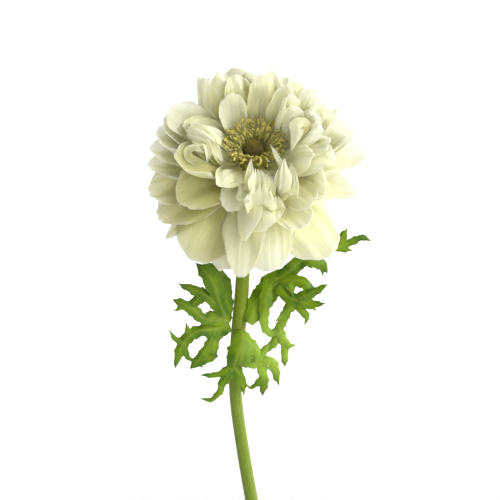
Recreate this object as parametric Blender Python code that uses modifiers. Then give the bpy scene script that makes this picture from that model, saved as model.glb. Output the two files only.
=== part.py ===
"""A cream semi-double anemone standing in a plain glazed bud vase.

Metres, +Z up. The origin is the centre of the vase's foot, on the table.
-Y is the side that the flower faces.
"""

import math

import bmesh
import bpy
import numpy as np
from mathutils import Vector

MM = 0.001

# Vase, turned about the origin's vertical axis: outer and inner profiles as (radius, height).
VASE_OUTER = [(26.0, 0.0), (28.5, 3.0), (33.0, 16.0), (36.0, 34.0), (34.5, 54.0), (28.0, 74.0),
              (19.2, 92.0), (13.8, 106.0), (12.0, 118.0), (12.2, 127.0), (13.2, 131.0)]
VASE_INNER = [(0.0, 5.0), (20.0, 5.0), (25.5, 8.0), (29.0, 17.0), (31.8, 34.0), (30.4, 53.0),
              (24.4, 72.0), (15.9, 90.0), (10.1, 105.0), (8.2, 118.0), (8.0, 127.0), (8.9, 131.0)]
VASE_LIP = (11.2, 132.0)
VASE_SIDES = 36

# Stem centre line from its cut end on the vase's floor to the flower, with its radius.
STEM_ROUTE = [(17.2, -1.0, 5.8), (9.8, -1.0, 46.0), (2.1, -0.9, 88.0), (-5.6, -0.6, 130.0),
              (-8.4, 0.2, 144.8), (-11.3, 1.5, 161.5), (-14.0, 3.0, 179.3), (-15.0, 4.1, 190.2),
              (-14.3, 5.2, 204.2), (-13.2, 5.8, 214.3), (-12.2, 6.1, 224.0), (-11.6, 6.2, 236.0),
              (-11.0, 6.1, 248.0), (-9.7, 4.6, 259.0), (-7.6, 1.5, 269.6), (-7.4, -3.7, 275.19)]
STEM_RADII = [2.6, 2.6, 2.5, 2.5, 2.5, 2.45, 2.4, 2.4, 2.5, 2.9, 2.7, 2.6, 2.6, 2.7, 2.9, 3.1]
WHORL = (-13.2, 5.8, 214.3)

# Flower: its own centre, how far its axis leans from vertical towards -Y, and its receptacle.
FLOWER = (-7.4, -8.0, 279.8)
FLOWER_TILT = math.radians(43)
RECEPTACLE_RADIUS = 5.7
RECEPTACLE_TOP, RECEPTACLE_TOP_LEAN, RECEPTACLE_NECK_LEAN = 4.8, 32, 122
RECEPTACLE_STEPS = 9
PETAL_START = 6.0
NECK_RADIUS, NECK_DEPTH = 3.1, 6.0
NECK_FLARE, NECK_FLARE_DEPTH = 0.6, 4.8

# Turned pieces on the flower's axis: (radius, height over the flower's centre).
DOME_PROFILE = [(0.0, 10.4), (1.6, 10.1), (2.8, 9.2), (3.4, 7.8), (3.45, 6.2), (2.9, 5.2), (0.0, 6.0)]
STAMEN_PROFILE = [(6.0, 11.8), (8.2, 12.6), (9.9, 12.5), (9.8, 11.9), (6.7, 9.1), (4.6, 6.4), (4.1, 4.7),
                  (3.7, 4.9), (3.95, 6.4)]
TURNED_SIDES = 20

# Petals, outermost first. Angles in degrees, lengths in millimetres:
# turn is the compass place round the flower's axis, 0 up and 90 to +X;
# middle and tip are the angles from the axis that the petal's centre line steers by;
# then length, half width, how far the edges rise, sideways sweep, and how pointed the end is.
PETALS = [
    ("petal_left_spur", 231, 102, 107, 44.5, 5.0, 0.5, 0, 0.8),
    ("petal_bottom_left_under", 198, 104, 114, 44.0, 9.5, -1.0, 0, 0.3),
    ("petal_lower_right_broad", 137, 100, 114, 46.0, 14.0, -2.0, 0, 0.1),
    ("petal_bottom_right", 168, 98, 113, 43.5, 11.0, -1.0, 3, 0.2),
    ("petal_lower_left_broad", 214, 98, 112, 44.5, 14.0, -2.0, 0, 0.1),
    ("petal_right_low", 115, 92, 89, 42.0, 9.5, 1.5, 0, 0.5),
    ("petal_left_low", 236, 94, 98, 43.0, 11.0, 1.0, 0, 0.2),
    ("petal_left_broad", 248, 90, 91, 42.0, 11.5, 1.5, 0, 0.15),
    ("petal_right_point", 95, 88, 80, 43.0, 10.5, 1.5, 0, 0.4),
    ("petal_left_point", 260, 86, 82, 41.0, 9.0, 1.5, 0, 0.4),
    ("petal_right_curled", 86, 84, 70, 40.5, 9.0, 1.2, 0, 0.2),
    ("petal_left_second", 268, 82, 77, 40.0, 9.0, 1.5, 0, 0.3),
    ("petal_right_shoulder", 73, 84, 66, 37.6, 8.5, 0.8, 0, 0.3),
    ("petal_left_third", 275, 80, 72, 39.0, 9.0, 2.0, 0, 0.2),
    ("petal_upper_right_outer", 52, 82, 60, 36.2, 7.5, 0.8, 0, 0.3),
    ("petal_left_upper", 283, 78, 67, 38.0, 9.0, 2.0, 0, 0.1),
    ("petal_top_back", 345, 80, 57, 36.3, 9.0, 1.5, 0, 0.1),
    ("petal_upper_left_strap", 317, 78, 54, 38.0, 5.5, 1.0, 0, 0.4),
    ("petal_top_right_back", 28, 82, 56, 34.3, 7.0, 1.0, 0, 0.3),
    ("petal_upper_right_back", 42, 80, 55, 34.6, 7.0, 0.8, 0, 0.3),
    ("petal_top_middle", 355, 78, 52, 33.8, 8.0, 1.5, 0, 0.1),
    ("petal_left_arch", 290, 74, 66, 38.0, 8.0, 2.0, -3, 0.1),
    ("petal_top_left_back", 327, 76, 50, 36.8, 7.5, 1.5, 0, 0.4),
    ("petal_bottom_bright", 187, 92, 114, 45.5, 8.5, -2.0, 0, 0.4),
    ("petal_front_fold", 172, 84, 98, 34.5, 7.5, -1.0, 0, 0.15),
    ("petal_front_lobe", 183, 82, 101, 34.5, 5.0, -1.0, 0, 0.1),
    ("petal_right_cup_low", 128, 84, 90, 34.0, 9.0, 1.5, 0, 0.15),
    ("petal_left_middle", 230, 84, 85, 36.0, 10.0, 1.0, 0, 0.15),
    ("petal_top_right_oval", 17, 76, 49, 35.0, 6.5, 1.2, 0, 0.2),
    ("petal_right_bright", 110, 80, 74, 35.0, 8.5, 1.0, 0, 0.2),
    ("petal_left_bright", 245, 76, 67, 34.5, 10.0, 2.5, 3, 0.1),
    ("petal_top_left_inner", 338, 70, 46, 34.0, 7.0, 1.2, 0, 0.1),
    ("petal_top_right_inner", 9, 70, 45, 33.8, 6.0, 1.0, 0, 0.2),
    ("petal_right_inner_high", 78, 78, 60, 32.0, 6.5, 1.0, 0, 0.2),
    ("petal_upper_right_inner", 39, 74, 51, 32.5, 6.0, 1.0, 0, 0.3),
    ("petal_right_cup", 119, 80, 72, 30.0, 6.5, 1.0, 0, 0.2),
    ("petal_front_patch", 200, 76, 84, 28.5, 6.0, 1.0, 0, 0.2),
    ("petal_rosette_outer", 282, 74, 62, 31.0, 7.5, 2.0, 0, 0.1),
    ("petal_upper_left_cup", 324, 64, 41, 28.5, 6.5, 1.5, 0, 0.1),
    ("petal_right_inner_low", 142, 78, 72, 27.5, 5.5, 1.0, 0, 0.4),
    ("petal_front_small", 160, 76, 72, 25.0, 4.2, 1.0, 0, 0.4),
    ("petal_front_narrow", 192, 72, 73, 27.0, 1.8, 0.5, 0, 0.3),
    ("petal_lower_left_cup", 212, 76, 66, 28.0, 7.5, 1.5, 0, 0.5),
    ("petal_rosette_middle", 273, 74, 61, 27.0, 6.0, 2.0, 0, 0.1),
    ("petal_curl_high", 55, 74, 46, 30.0, 3.4, 0.8, 0, 0.3),
    ("petal_rosette_inner", 270, 74, 61, 22.5, 4.5, 1.5, 0, 0.15),
    ("petal_inner_point_right", 135, 74, 50, 21.5, 3.6, 1.2, 0, 0.8),
    ("petal_curl_low", 90, 76, 48, 24.5, 3.8, 1.0, -4, 0.2),
    ("petal_front_curl", 163, 74, 56, 20.5, 2.8, 0.8, 0, 0.5),
    ("petal_front_spike", 187, 70, 34, 18.5, 1.9, 0.5, 0, 0.9),
]
PETAL_THICKNESS = 0.3
PETAL_SPACING = [(6.0, 0.62), (20.0, 0.88)]
PETAL_BASE_HALF_WIDTH = 1.1
# Outline: where along it a petal is widest, how steeply it widens, how it narrows beyond NARROWING_FROM,
# and how far its sides end short of its tip, each for a blunt end and as much more for a pointed one.
PETAL_WIDEST, WIDENING = 0.8, 1.6
NARROWING_FROM, NARROWING = 0.5, (0.06, 0.4)
SHORT_SIDES, POINT_CURVE = (0.8, 0.6), 1.3
PETAL_ROWS, PETAL_COLUMNS = 7, 4
SAMPLE_ROWS, SAMPLE_COLUMNS = 49, 32
SPREAD_STEPS = 3
RING_STEP = 0.5
SECTORS = 360

# Petal seats on the receptacle: rings of them, each a row higher and half a seat further round.
SEAT_ROWS, SEATS_PER_ROW = 6, 13
LOWEST_SEAT_LEAN, SEAT_ROW_STEP = 110, 9
SEAT_ROW_COST = 14
SEAT_REACH = 16
# No petal leans in over the stamens nearer the centre than this distance and angle.
STAMEN_EDGE = [(16.5, 53.0), (19.5, 20.0)]
STAMEN_EDGE_SOFTNESS = math.radians(3)

# Bract lobes: each is a ribbon through (x, y, z) points from the whorl, with its width there.
LEFT_BRACT = [
    [(-4.6, -2.0, 4.5, 4.5), (-5.6, -2.2, 10.5, 7.0), (-7.2, -2.8, 17.0, 8.0), (-10.2, -3.2, 22.0, 6.0),
     (-13.2, -3.0, 25.0, 2.0)],
    [(-3.8, -3.2, 1.5, 6.0), (-8.5, -5.0, 3.2, 6.0), (-12.5, -6.5, 3.6, 5.2)],
    [(-3.8, -3.2, 0.5, 6.0), (-8.5, -5.5, -1.0, 6.4), (-13.0, -7.0, -1.2, 5.8)],
    [(-3.5, -1.5, 1.0, 4.0), (-5.0, -3.0, 3.5, 6.0), (-7.0, -4.5, 8.0, 5.5), (-9.5, -6.0, 16.5, 6.5),
     (-12.5, -6.5, 21.5, 5.5), (-16.5, -5.0, 25.0, 2.0)],
    [(-5.0, -3.0, 4.0, 5.0), (-9.5, -5.0, 9.7, 4.5), (-13.5, -6.0, 13.0, 4.2), (-18.5, -7.0, 15.5, 3.2),
     (-23.5, -7.5, 17.5, 0.9)],
    [(-4.0, -3.0, 2.5, 5.0), (-9.5, -6.0, 2.6, 3.6), (-14.0, -7.5, 4.0, 4.0), (-18.0, -8.5, 7.7, 4.6),
     (-22.0, -9.0, 10.0, 3.6), (-25.3, -9.0, 11.5, 2.4)],
    [(-21.0, -9.0, 9.3, 2.2), (-25.0, -9.5, 7.0, 0.9)],
    [(-13.5, -6.0, 12.7, 4.0), (-16.0, -7.0, 11.0, 4.0), (-18.0, -8.0, 9.0, 4.0)],
    [(-3.6, -3.0, 0.5, 5.0), (-9.5, -6.0, -0.8, 4.8), (-15.0, -8.0, -0.9, 4.6), (-19.2, -9.0, -3.0, 4.5),
     (-22.0, -9.5, -6.7, 4.0), (-23.5, -10.0, -11.0, 3.0), (-24.6, -10.0, -15.5, 0.9)],
    [(-21.0, -9.5, -5.6, 2.6), (-24.2, -9.5, -4.0, 2.0), (-27.0, -9.5, -0.3, 0.9)],
    [(-19.6, -9.0, -1.9, 2.2), (-20.4, -9.0, 2.7, 0.9)],
    [(-9.0, -6.0, -1.5, 3.6), (-11.5, -8.0, -6.3, 3.2), (-14.2, -9.0, -10.3, 3.4),
     (-16.5, -9.5, -13.3, 3.8), (-18.8, -9.5, -15.6, 2.6)],
    [(-16.5, -9.5, -13.0, 3.0), (-13.8, -9.5, -15.2, 1.2)],
    [(-20.8, -9.5, -7.5, 2.2), (-19.8, -9.5, -11.0, 2.0), (-17.0, -9.5, -12.6, 2.4)],
    [(-7.3, -5.0, -1.5, 3.6), (-9.2, -7.0, -6.3, 2.8), (-10.0, -8.5, -11.0, 3.0)],
    [(-17.3, -9.5, -12.6, 3.0), (-13.0, -9.0, -12.0, 3.4), (-8.0, -8.5, -10.8, 2.6)],
]
FRONT_BRACT = [
    [(1.5, -6.0, -3.0, 7.0), (1.8, -9.5, -6.0, 10.5), (1.2, -11.5, -10.0, 11.0), (0.4, -11.0, -14.5, 8.5)],
    [(0.6, -3.6, -1.4, 4.5), (1.5, -8.5, -3.6, 7.5), (0.4, -11.5, -7.5, 8.0), (-1.2, -12.0, -12.2, 7.0),
     (-2.3, -10.5, -16.3, 5.5)],
    [(-2.7, -11.0, -14.7, 3.2), (-8.0, -11.5, -17.4, 2.2), (-15.0, -11.5, -17.8, 0.9)],
    [(-2.6, -10.5, -15.5, 4.4), (-6.0, -11.0, -20.5, 3.2), (-7.7, -11.0, -24.9, 2.2),
     (-10.8, -11.0, -27.6, 1.6), (-15.0, -11.0, -27.2, 0.9)],
    [(-1.5, -10.8, -14.5, 4.6), (1.2, -8.5, -20.4, 3.0), (2.0, -7.0, -27.0, 0.9)],
    [(2.4, -8.5, -4.5, 4.2), (6.6, -9.5, -8.0, 3.6), (6.0, -10.0, -13.0, 1.2)],
    [(0.5, -11.0, -11.5, 4.6), (5.5, -8.0, -13.5, 4.2), (12.0, -7.0, -13.0, 3.4), (13.8, -7.0, -16.0, 3.6),
     (15.6, -7.0, -23.0, 1.2)],
    [(8.5, -7.5, -13.5, 4.0), (9.7, -7.0, -20.5, 3.4), (9.2, -7.0, -27.0, 2.2)],
    [(9.0, -7.2, -20.0, 2.2), (5.0, -7.5, -23.7, 1.4), (2.6, -8.5, -22.0, 0.9)],
    [(4.5, -8.2, -12.5, 3.0), (9.5, -6.5, -9.5, 3.0), (12.0, -6.0, -6.0, 1.0)],
]
RIGHT_BRACT = [
    [(3.8, -3.9, 1.0, 4.2), (5.8, -3.0, 5.0, 7.0), (8.6, -1.2, 9.6, 9.0), (12.0, -0.4, 13.8, 8.5),
     (15.5, -0.4, 16.8, 6.5)],
    [(4.7, 0.2, 1.4, 2.4), (6.8, 0.6, 6.5, 5.0), (10.0, 1.0, 12.2, 7.5), (13.4, 0.8, 16.6, 8.0),
     (18.0, 0.0, 19.2, 6.5), (21.0, -1.0, 22.4, 5.6), (24.6, -2.0, 25.6, 5.2), (28.8, -3.0, 25.6, 5.0),
     (32.3, -3.0, 24.0, 4.4), (34.2, -3.0, 20.8, 2.4)],
    [(32.0, -3.0, 23.0, 2.2), (32.6, -3.0, 19.4, 0.9)],
    [(24.6, -2.0, 26.0, 2.0), (24.6, -2.0, 29.0, 0.9)],
    [(15.7, -0.5, 16.7, 5.0), (21.0, -3.0, 18.0, 4.4), (25.7, -5.0, 17.0, 4.4), (27.0, -6.0, 13.6, 4.4),
     (23.5, -6.0, 10.5, 4.6)],
    [(15.5, -1.5, 15.5, 4.0), (18.5, -4.0, 12.0, 4.6), (23.0, -5.8, 10.3, 5.2), (28.0, -7.0, 9.3, 3.4),
     (33.4, -8.0, 9.8, 0.9)],
    [(23.0, -5.5, 11.0, 5.0), (27.5, -7.0, 13.5, 3.6), (31.0, -7.5, 15.3, 2.6), (34.2, -8.0, 17.4, 0.9)],
    [(23.0, -5.5, 10.0, 4.4), (25.0, -6.5, 6.0, 3.2), (26.3, -7.0, 3.9, 2.2), (25.3, -7.0, 1.0, 0.9)],
    [(22.0, -5.5, 9.5, 4.0), (19.3, -6.0, 6.9, 2.6), (15.9, -6.0, 3.8, 1.6), (13.9, -6.0, 2.0, 0.9)],
    [(28.0, -7.0, 9.0, 2.0), (29.8, -7.5, 6.4, 0.9)],
    [(20.3, -3.0, 17.0, 2.8), (20.6, -4.8, 12.0, 2.8)],
    [(12.5, 0.0, 15.5, 5.5), (10.8, -2.5, 11.8, 5.0), (10.0, -4.0, 6.2, 4.2), (10.0, -4.0, 0.5, 3.2),
     (12.2, -2.0, -3.2, 2.8), (15.7, -0.5, -2.0, 3.0)],
    [(9.5, -1.5, 11.0, 6.0), (8.2, -1.5, 6.5, 5.0), (6.4, -1.2, 2.6, 3.6)],
    [(19.5, -4.8, 8.5, 3.4), (18.0, -1.5, 3.5, 3.4), (15.7, 0.0, -2.0, 3.6), (14.2, 0.0, -6.5, 3.4),
     (11.2, -1.0, -11.0, 2.2)],
    [(15.7, 0.0, -2.0, 3.2), (17.7, 0.0, -7.5, 3.0), (18.0, 0.0, -12.5, 3.0), (18.0, 0.0, -17.0, 2.4)],
    [(17.3, 0.0, -6.5, 2.6), (20.0, 0.0, -8.5, 2.2), (22.3, 0.0, -8.5, 1.2)],
    [(19.5, -0.6, 20.8, 4.5), (23.5, 0.8, 23.6, 4.2), (28.0, 4.0, 26.6, 4.0), (33.0, 7.5, 29.0, 3.6),
     (39.5, 10.0, 29.0, 3.6), (45.0, 11.0, 31.0, 2.6), (48.5, 11.5, 32.3, 2.4), (51.8, 12.0, 30.8, 1.6)],
    [(39.0, 10.0, 29.0, 3.4), (41.0, 10.5, 33.0, 3.2), (42.6, 11.0, 36.0, 1.0)],
    [(39.0, 10.0, 28.5, 3.2), (44.5, 10.0, 27.3, 1.6)],
]
LOBE_FACING = (0.15, -0.9, 0.4)
LOBE_STEPS = 3
BRACT_THICKNESS = 1.0
BRACT_VOXEL = 0.42
BRACT_SHARE_KEPT = {"bract_left": 0.045, "bract_front": 0.05, "bract_right": 0.04}

# Colour, roughness and metallic value of each material.
FINISHES = {
    "glaze": ((0.86, 0.84, 0.79), 0.25, 0.0),
    "petal": ((0.86, 0.85, 0.62), 0.55, 0.0),
    "stem_green": ((0.22, 0.33, 0.06), 0.5, 0.0),
    "leaf_green": ((0.12, 0.26, 0.02), 0.5, 0.0),
    "anther_olive": ((0.16, 0.13, 0.03), 0.8, 0.0),
    "pistil_olive": ((0.12, 0.09, 0.03), 0.9, 0.0),
}


def clear_scene():
    for obj in list(bpy.data.objects):
        bpy.data.objects.remove(obj)


def new_collection(name):
    collection = bpy.data.collections.new(name)
    bpy.context.scene.collection.children.link(collection)
    return collection


def finish(name):
    """The named material, made once."""
    found = bpy.data.materials.get(name)
    if found:
        return found
    colour, roughness, metallic = FINISHES[name]
    material = bpy.data.materials.new(name)
    material.use_nodes = True
    shader = material.node_tree.nodes["Principled BSDF"]
    shader.inputs["Base Color"].default_value = (*colour, 1.0)
    shader.inputs["Roughness"].default_value = roughness
    shader.inputs["Metallic"].default_value = metallic
    return material


def add_object(name, bm, collection, material):
    mesh = bpy.data.meshes.new(name)
    bm.to_mesh(mesh)
    bm.free()
    obj = bpy.data.objects.new(name, mesh)
    obj.data.materials.append(finish(material))
    collection.objects.link(obj)
    return obj


def add_turned(name, profile, sides, collection, material):
    """A closed profile of (radius, height), listed down its outer side, turned about Z."""
    bm = bmesh.new()
    points = [bm.verts.new((radius * MM, 0, height * MM)) for radius, height in profile]
    for first, second in zip(points, points[1:]):
        bm.edges.new((first, second))
    if profile[0][0] > 0:
        bm.edges.new((points[-1], points[0]))
    obj = add_object(name, bm, collection, material)
    screw = obj.modifiers.new("turn", "SCREW")
    screw.steps = sides
    screw.render_steps = sides
    screw.use_merge_vertices = True
    screw.merge_threshold = 0.00002
    screw.use_normal_calculate = True
    return obj


def flower_axes():
    """The flower's own right, up and outward axes."""
    right = np.array((1.0, 0.0, 0.0))
    up = np.array((0.0, math.cos(FLOWER_TILT), math.sin(FLOWER_TILT)))
    axis = np.array((0.0, -math.sin(FLOWER_TILT), math.cos(FLOWER_TILT)))
    return right, up, axis


def place_on_flower(obj):
    obj.location = Vector(FLOWER) * MM
    obj.rotation_euler = (FLOWER_TILT, 0.0, 0.0)


def add_vase(collection):
    """Turned from the inside of its floor up over the lip and down the outside to its foot."""
    profile = VASE_INNER + [VASE_LIP] + VASE_OUTER[::-1] + [(0.0, 0.0)]
    return add_turned("vase", profile, VASE_SIDES, collection, "glaze")


def add_stem(collection):
    curve = bpy.data.curves.new("stem", "CURVE")
    curve.dimensions = "3D"
    curve.bevel_depth = 1.0 * MM
    curve.bevel_resolution = 2
    curve.use_fill_caps = True
    curve.resolution_u = 2
    spline = curve.splines.new("NURBS")
    spline.points.add(len(STEM_ROUTE) - 1)
    for point, place, radius in zip(spline.points, STEM_ROUTE, STEM_RADII):
        point.co = (*(Vector(place) * MM), 1.0)
        point.radius = radius
    spline.use_endpoint_u = True
    spline.order_u = 4
    obj = bpy.data.objects.new("stem", curve)
    obj.data.materials.append(finish("stem_green"))
    collection.objects.link(obj)
    return obj


def receptacle_profile():
    """A ball that ends in a short neck towards the stem."""
    points = [(0.0, RECEPTACLE_TOP)]
    for lean in np.radians(np.linspace(RECEPTACLE_TOP_LEAN, RECEPTACLE_NECK_LEAN, RECEPTACLE_STEPS + 1)):
        points.append((RECEPTACLE_RADIUS * math.sin(lean), RECEPTACLE_RADIUS * math.cos(lean)))
    neck = [(NECK_RADIUS + NECK_FLARE, -NECK_FLARE_DEPTH), (NECK_RADIUS, -NECK_DEPTH), (0.0, -NECK_DEPTH)]
    return points + neck


def turn_between(first, second):
    return (second - first + 180) % 360 - 180


def choose_seats():
    """Gives each petal a free seat near its turn, as (lean, turn aside), never under one already taken."""
    free = []
    for row in range(SEAT_ROWS):
        for place in range(SEATS_PER_ROW):
            free.append((row, 360 / SEATS_PER_ROW * (place + row / 2)))
    seats = []
    for petal in PETALS:
        best = min(free, key=lambda seat: SEAT_ROW_COST * seat[0] + abs(turn_between(petal[1], seat[1])))
        seats.append((LOWEST_SEAT_LEAN - SEAT_ROW_STEP * best[0], turn_between(petal[1], best[1])))
        free = [seat for seat in free if seat != best
                and (seat[0] >= best[0] or abs(turn_between(seat[1], best[1])) > SEAT_REACH)]
    return seats


def petal_sheet(petal, seat, rows, columns):
    """Distance, turn and lean of a petal's points, seen from the flower's centre."""
    _, turn, middle, tip, length, half_width, cup, sweep, point = petal
    base, aside = seat
    s = np.linspace(0, 1, rows + 1)[:, None] + np.zeros(columns + 1)
    t = np.linspace(-1, 1, columns + 1) + np.zeros((rows + 1, 1))
    rounded = (1 - point) * (1 - np.sqrt(1 - t**2)) + point * np.abs(t) ** POINT_CURVE
    end = length - half_width * (SHORT_SIDES[0] + SHORT_SIDES[1] * point) * rounded
    distance = PETAL_START + s * (end - PETAL_START)
    lean = np.radians((1 - s) ** 2 * base + 2 * s * (1 - s) * middle + s**2 * tip)
    rise = np.sin(np.pi / 2 * np.minimum(1, s / PETAL_WIDEST)) ** WIDENING
    beyond = np.maximum(0, s - NARROWING_FROM) / (1 - NARROWING_FROM)
    fall = 1 - (NARROWING[0] + NARROWING[1] * point) * beyond**2
    width = PETAL_BASE_HALF_WIDTH * (1 - s) + half_width * rise * fall
    across = t * width / (distance * np.sin(lean))
    lean = lean - cup * t**2 * (width / half_width) ** 2 / distance
    edge = np.radians(np.interp(distance, *zip(*STAMEN_EDGE)))
    lean = (lean + edge + np.hypot(lean - edge, STAMEN_EDGE_SOFTNESS)) / 2
    return distance, np.radians(turn + aside * (1 - s) ** 3 + sweep * s**2) + across, lean


def spread(push):
    """Widens each push and rounds it off, never below what it was."""
    window = (2 * SPREAD_STEPS + 1, 2 * SPREAD_STEPS + 1)
    for reduce in (np.max, np.mean):
        padded = np.pad(push, SPREAD_STEPS, mode="edge")
        push = reduce(np.lib.stride_tricks.sliding_window_view(padded, window), axis=(2, 3))
    return push


def lay_petal(petal, seat, lowest):
    """Lays one petal on those already laid. lowest holds the lean that each direction is filled to."""
    distance, turn, lean = petal_sheet(petal, seat, SAMPLE_ROWS, SAMPLE_COLUMNS)
    ring = np.round(distance / RING_STEP).astype(int)
    sector = np.round(np.degrees(turn)).astype(int) % SECTORS
    spacing = np.interp(distance, *zip(*PETAL_SPACING))
    push = np.maximum(0, lean + spacing / distance - lowest[ring, sector])
    lean = lean - spread(push)
    for step in (-1, 0, 1):
        for side in (-1, 0, 1):
            np.minimum.at(lowest, (ring + step, (sector + side) % SECTORS), lean)
    return distance, turn, lean


def to_world(distance, turn, lean):
    right, up, axis = flower_axes()
    around = np.sin(turn)[..., None] * right + np.cos(turn)[..., None] * up
    out = np.sin(lean)[..., None] * around + np.cos(lean)[..., None] * axis
    return (np.array(FLOWER) + distance[..., None] * out) * MM


def add_petals(collection):
    rings = int(max(petal[4] for petal in PETALS) / RING_STEP) + 4
    lowest = np.full((rings, SECTORS), math.pi)
    for petal, seat in zip(PETALS, choose_seats()):
        points = to_world(*lay_petal(petal, seat, lowest))
        bm = bmesh.new()
        bmesh.ops.create_grid(bm, x_segments=PETAL_ROWS, y_segments=PETAL_COLUMNS, size=1)
        for vert in bm.verts:
            row = round((vert.co.x + 1) / 2 * SAMPLE_ROWS)
            column = round((vert.co.y + 1) / 2 * SAMPLE_COLUMNS)
            vert.co = points[row, column]
        obj = add_object(petal[0], bm, collection, "petal")
        solid = obj.modifiers.new("thickness", "SOLIDIFY")
        solid.thickness = PETAL_THICKNESS * MM
        solid.offset = 0.0


def smooth_route(points):
    """Points along a smooth curve through the given (x, y, z, width) points."""
    points = [np.array(point) for point in points]
    padded = [2 * points[0] - points[1], *points, 2 * points[-1] - points[-2]]
    route = []
    for before, first, second, after in zip(padded, padded[1:], padded[2:], padded[3:]):
        for step in range(LOBE_STEPS):
            u = step / LOBE_STEPS
            route.append(0.5 * (2 * first + (second - before) * u
                                + (2 * before - 5 * first + 4 * second - after) * u**2
                                + (3 * first - before - 3 * second + after) * u**3))
    return np.array(route + [points[-1]])


def add_lobe(bm, points):
    """A flat ribbon that faces LOBE_FACING as far as its course allows."""
    route = smooth_route(points)
    ahead = np.gradient(route[:, :3], axis=0)
    across = np.cross(ahead, LOBE_FACING)
    across /= np.linalg.norm(across, axis=1)[:, None]
    made = bmesh.ops.create_grid(bm, x_segments=len(route) - 1, y_segments=2, size=1)
    for vert in made["verts"]:
        row = round((vert.co.x + 1) / 2 * (len(route) - 1))
        place = route[row, :3] + across[row] * vert.co.y * route[row, 3] / 2
        vert.co = (place + WHORL) * MM


def add_bract(name, lobes, collection):
    bm = bmesh.new()
    for points in lobes:
        add_lobe(bm, points)
    obj = add_object(name, bm, collection, "leaf_green")
    solid = obj.modifiers.new("thickness", "SOLIDIFY")
    solid.thickness = BRACT_THICKNESS * MM
    solid.offset = 0.0
    grown = obj.modifiers.new("grown_together", "REMESH")
    grown.mode = "VOXEL"
    grown.voxel_size = BRACT_VOXEL * MM
    fewer = obj.modifiers.new("fewer_faces", "DECIMATE")
    fewer.ratio = BRACT_SHARE_KEPT[name]


def main():
    clear_scene()
    collection = new_collection("anemone_in_vase")
    add_vase(collection)
    add_stem(collection)
    place_on_flower(add_turned("receptacle", receptacle_profile(), TURNED_SIDES, collection, "stem_green"))
    place_on_flower(add_turned("pistil_dome", DOME_PROFILE, TURNED_SIDES, collection, "pistil_olive"))
    place_on_flower(add_turned("stamens", STAMEN_PROFILE, TURNED_SIDES, collection, "anther_olive"))
    add_petals(collection)
    add_bract("bract_left", LEFT_BRACT, collection)
    add_bract("bract_front", FRONT_BRACT, collection)
    add_bract("bract_right", RIGHT_BRACT, collection)


main()
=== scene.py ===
"""A cream semi-double anemone in a plain glazed bud vase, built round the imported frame."""

import math

import bpy
import numpy as np
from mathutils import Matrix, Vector, kdtree


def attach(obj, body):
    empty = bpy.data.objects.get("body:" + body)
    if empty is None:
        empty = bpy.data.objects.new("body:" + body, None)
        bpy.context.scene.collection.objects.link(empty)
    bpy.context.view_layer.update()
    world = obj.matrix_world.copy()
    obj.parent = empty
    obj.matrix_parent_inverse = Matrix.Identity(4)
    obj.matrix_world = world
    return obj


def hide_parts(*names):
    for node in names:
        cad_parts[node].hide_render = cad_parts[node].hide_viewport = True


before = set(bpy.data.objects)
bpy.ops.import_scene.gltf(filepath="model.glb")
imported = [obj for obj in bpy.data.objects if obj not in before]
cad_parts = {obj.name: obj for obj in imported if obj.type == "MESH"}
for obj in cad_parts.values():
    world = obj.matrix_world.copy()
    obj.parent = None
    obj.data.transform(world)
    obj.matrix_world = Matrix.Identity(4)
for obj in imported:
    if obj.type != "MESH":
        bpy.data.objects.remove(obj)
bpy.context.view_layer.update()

MM = 0.001

# Vase, turned about the vertical axis: profiles as (radius, height).
VASE_OUTER = [(26, 0), (28.5, 3), (33, 16), (36, 34), (34.5, 54), (28, 74),
              (19.2, 92), (13.8, 106), (12, 118), (12.2, 127), (13.2, 131)]
VASE_INNER = [(25.5, 8), (29, 17), (31.8, 34), (30.4, 53), (24.4, 72), (15.9, 90),
              (10.1, 105), (8.2, 118), (8, 127), (8.9, 131)]
VASE_FLOOR = [(0.02, 5), (10, 5), (20, 5)]
VASE_FOOT = [(25, 0), (0.02, 0)]
VASE_LIP = (11.2, 132.0)
VASE_SIDES = 128
VASE_OUTER_STEPS, VASE_INNER_STEPS, VASE_LIP_STEPS = 8, 6, 8
# Faint rings from throwing: their depth, how close they follow, and the height where they are full.
THROWING_DEPTH, THROWING_PACE, THROWING_FROM = 0.05, 1.9, 12

# Stem centre line from its cut end to the flower, with its radius.
STEM_ROUTE = [(17.2, -1, 5.8), (9.8, -1, 46), (2.1, -0.9, 88), (-5.6, -0.6, 130),
              (-8.4, 0.2, 144.8), (-11.3, 1.5, 161.5), (-14, 3, 179.3), (-15, 4.1, 190.2),
              (-14.3, 5.2, 204.2), (-13.2, 5.8, 214.3), (-12.2, 6.1, 224), (-11.6, 6.2, 236),
              (-11, 6.1, 248), (-9.7, 4.6, 259), (-7.6, 1.5, 269.6), (-7.4, -3.7, 275.19)]
STEM_RADII = [2.6, 2.6, 2.5, 2.5, 2.5, 2.45, 2.4, 2.4, 2.5, 2.9, 2.7, 2.6, 2.6, 2.7, 2.9, 3.1]
STEM_ROWS, STEM_SIDES = 320, 48
# Ribs round the stem: their depth as a share of its radius, how many, and how they wind.
STEM_RIBS = [(0.018, 9, 0.02), (0.012, 5, -0.03)]
# The stem's ends close on rings of these shares of its width.
STEM_END_SHARES = (0.01, 0.9)
# The bracts' whorl on the stem.
WHORL = (-13.2, 5.8, 214.3)

# Flower: its own centre, and how far its axis leans from vertical towards -Y.
FLOWER = (-7.4, -8.0, 279.8)
FLOWER_TILT = math.radians(43)

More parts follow.
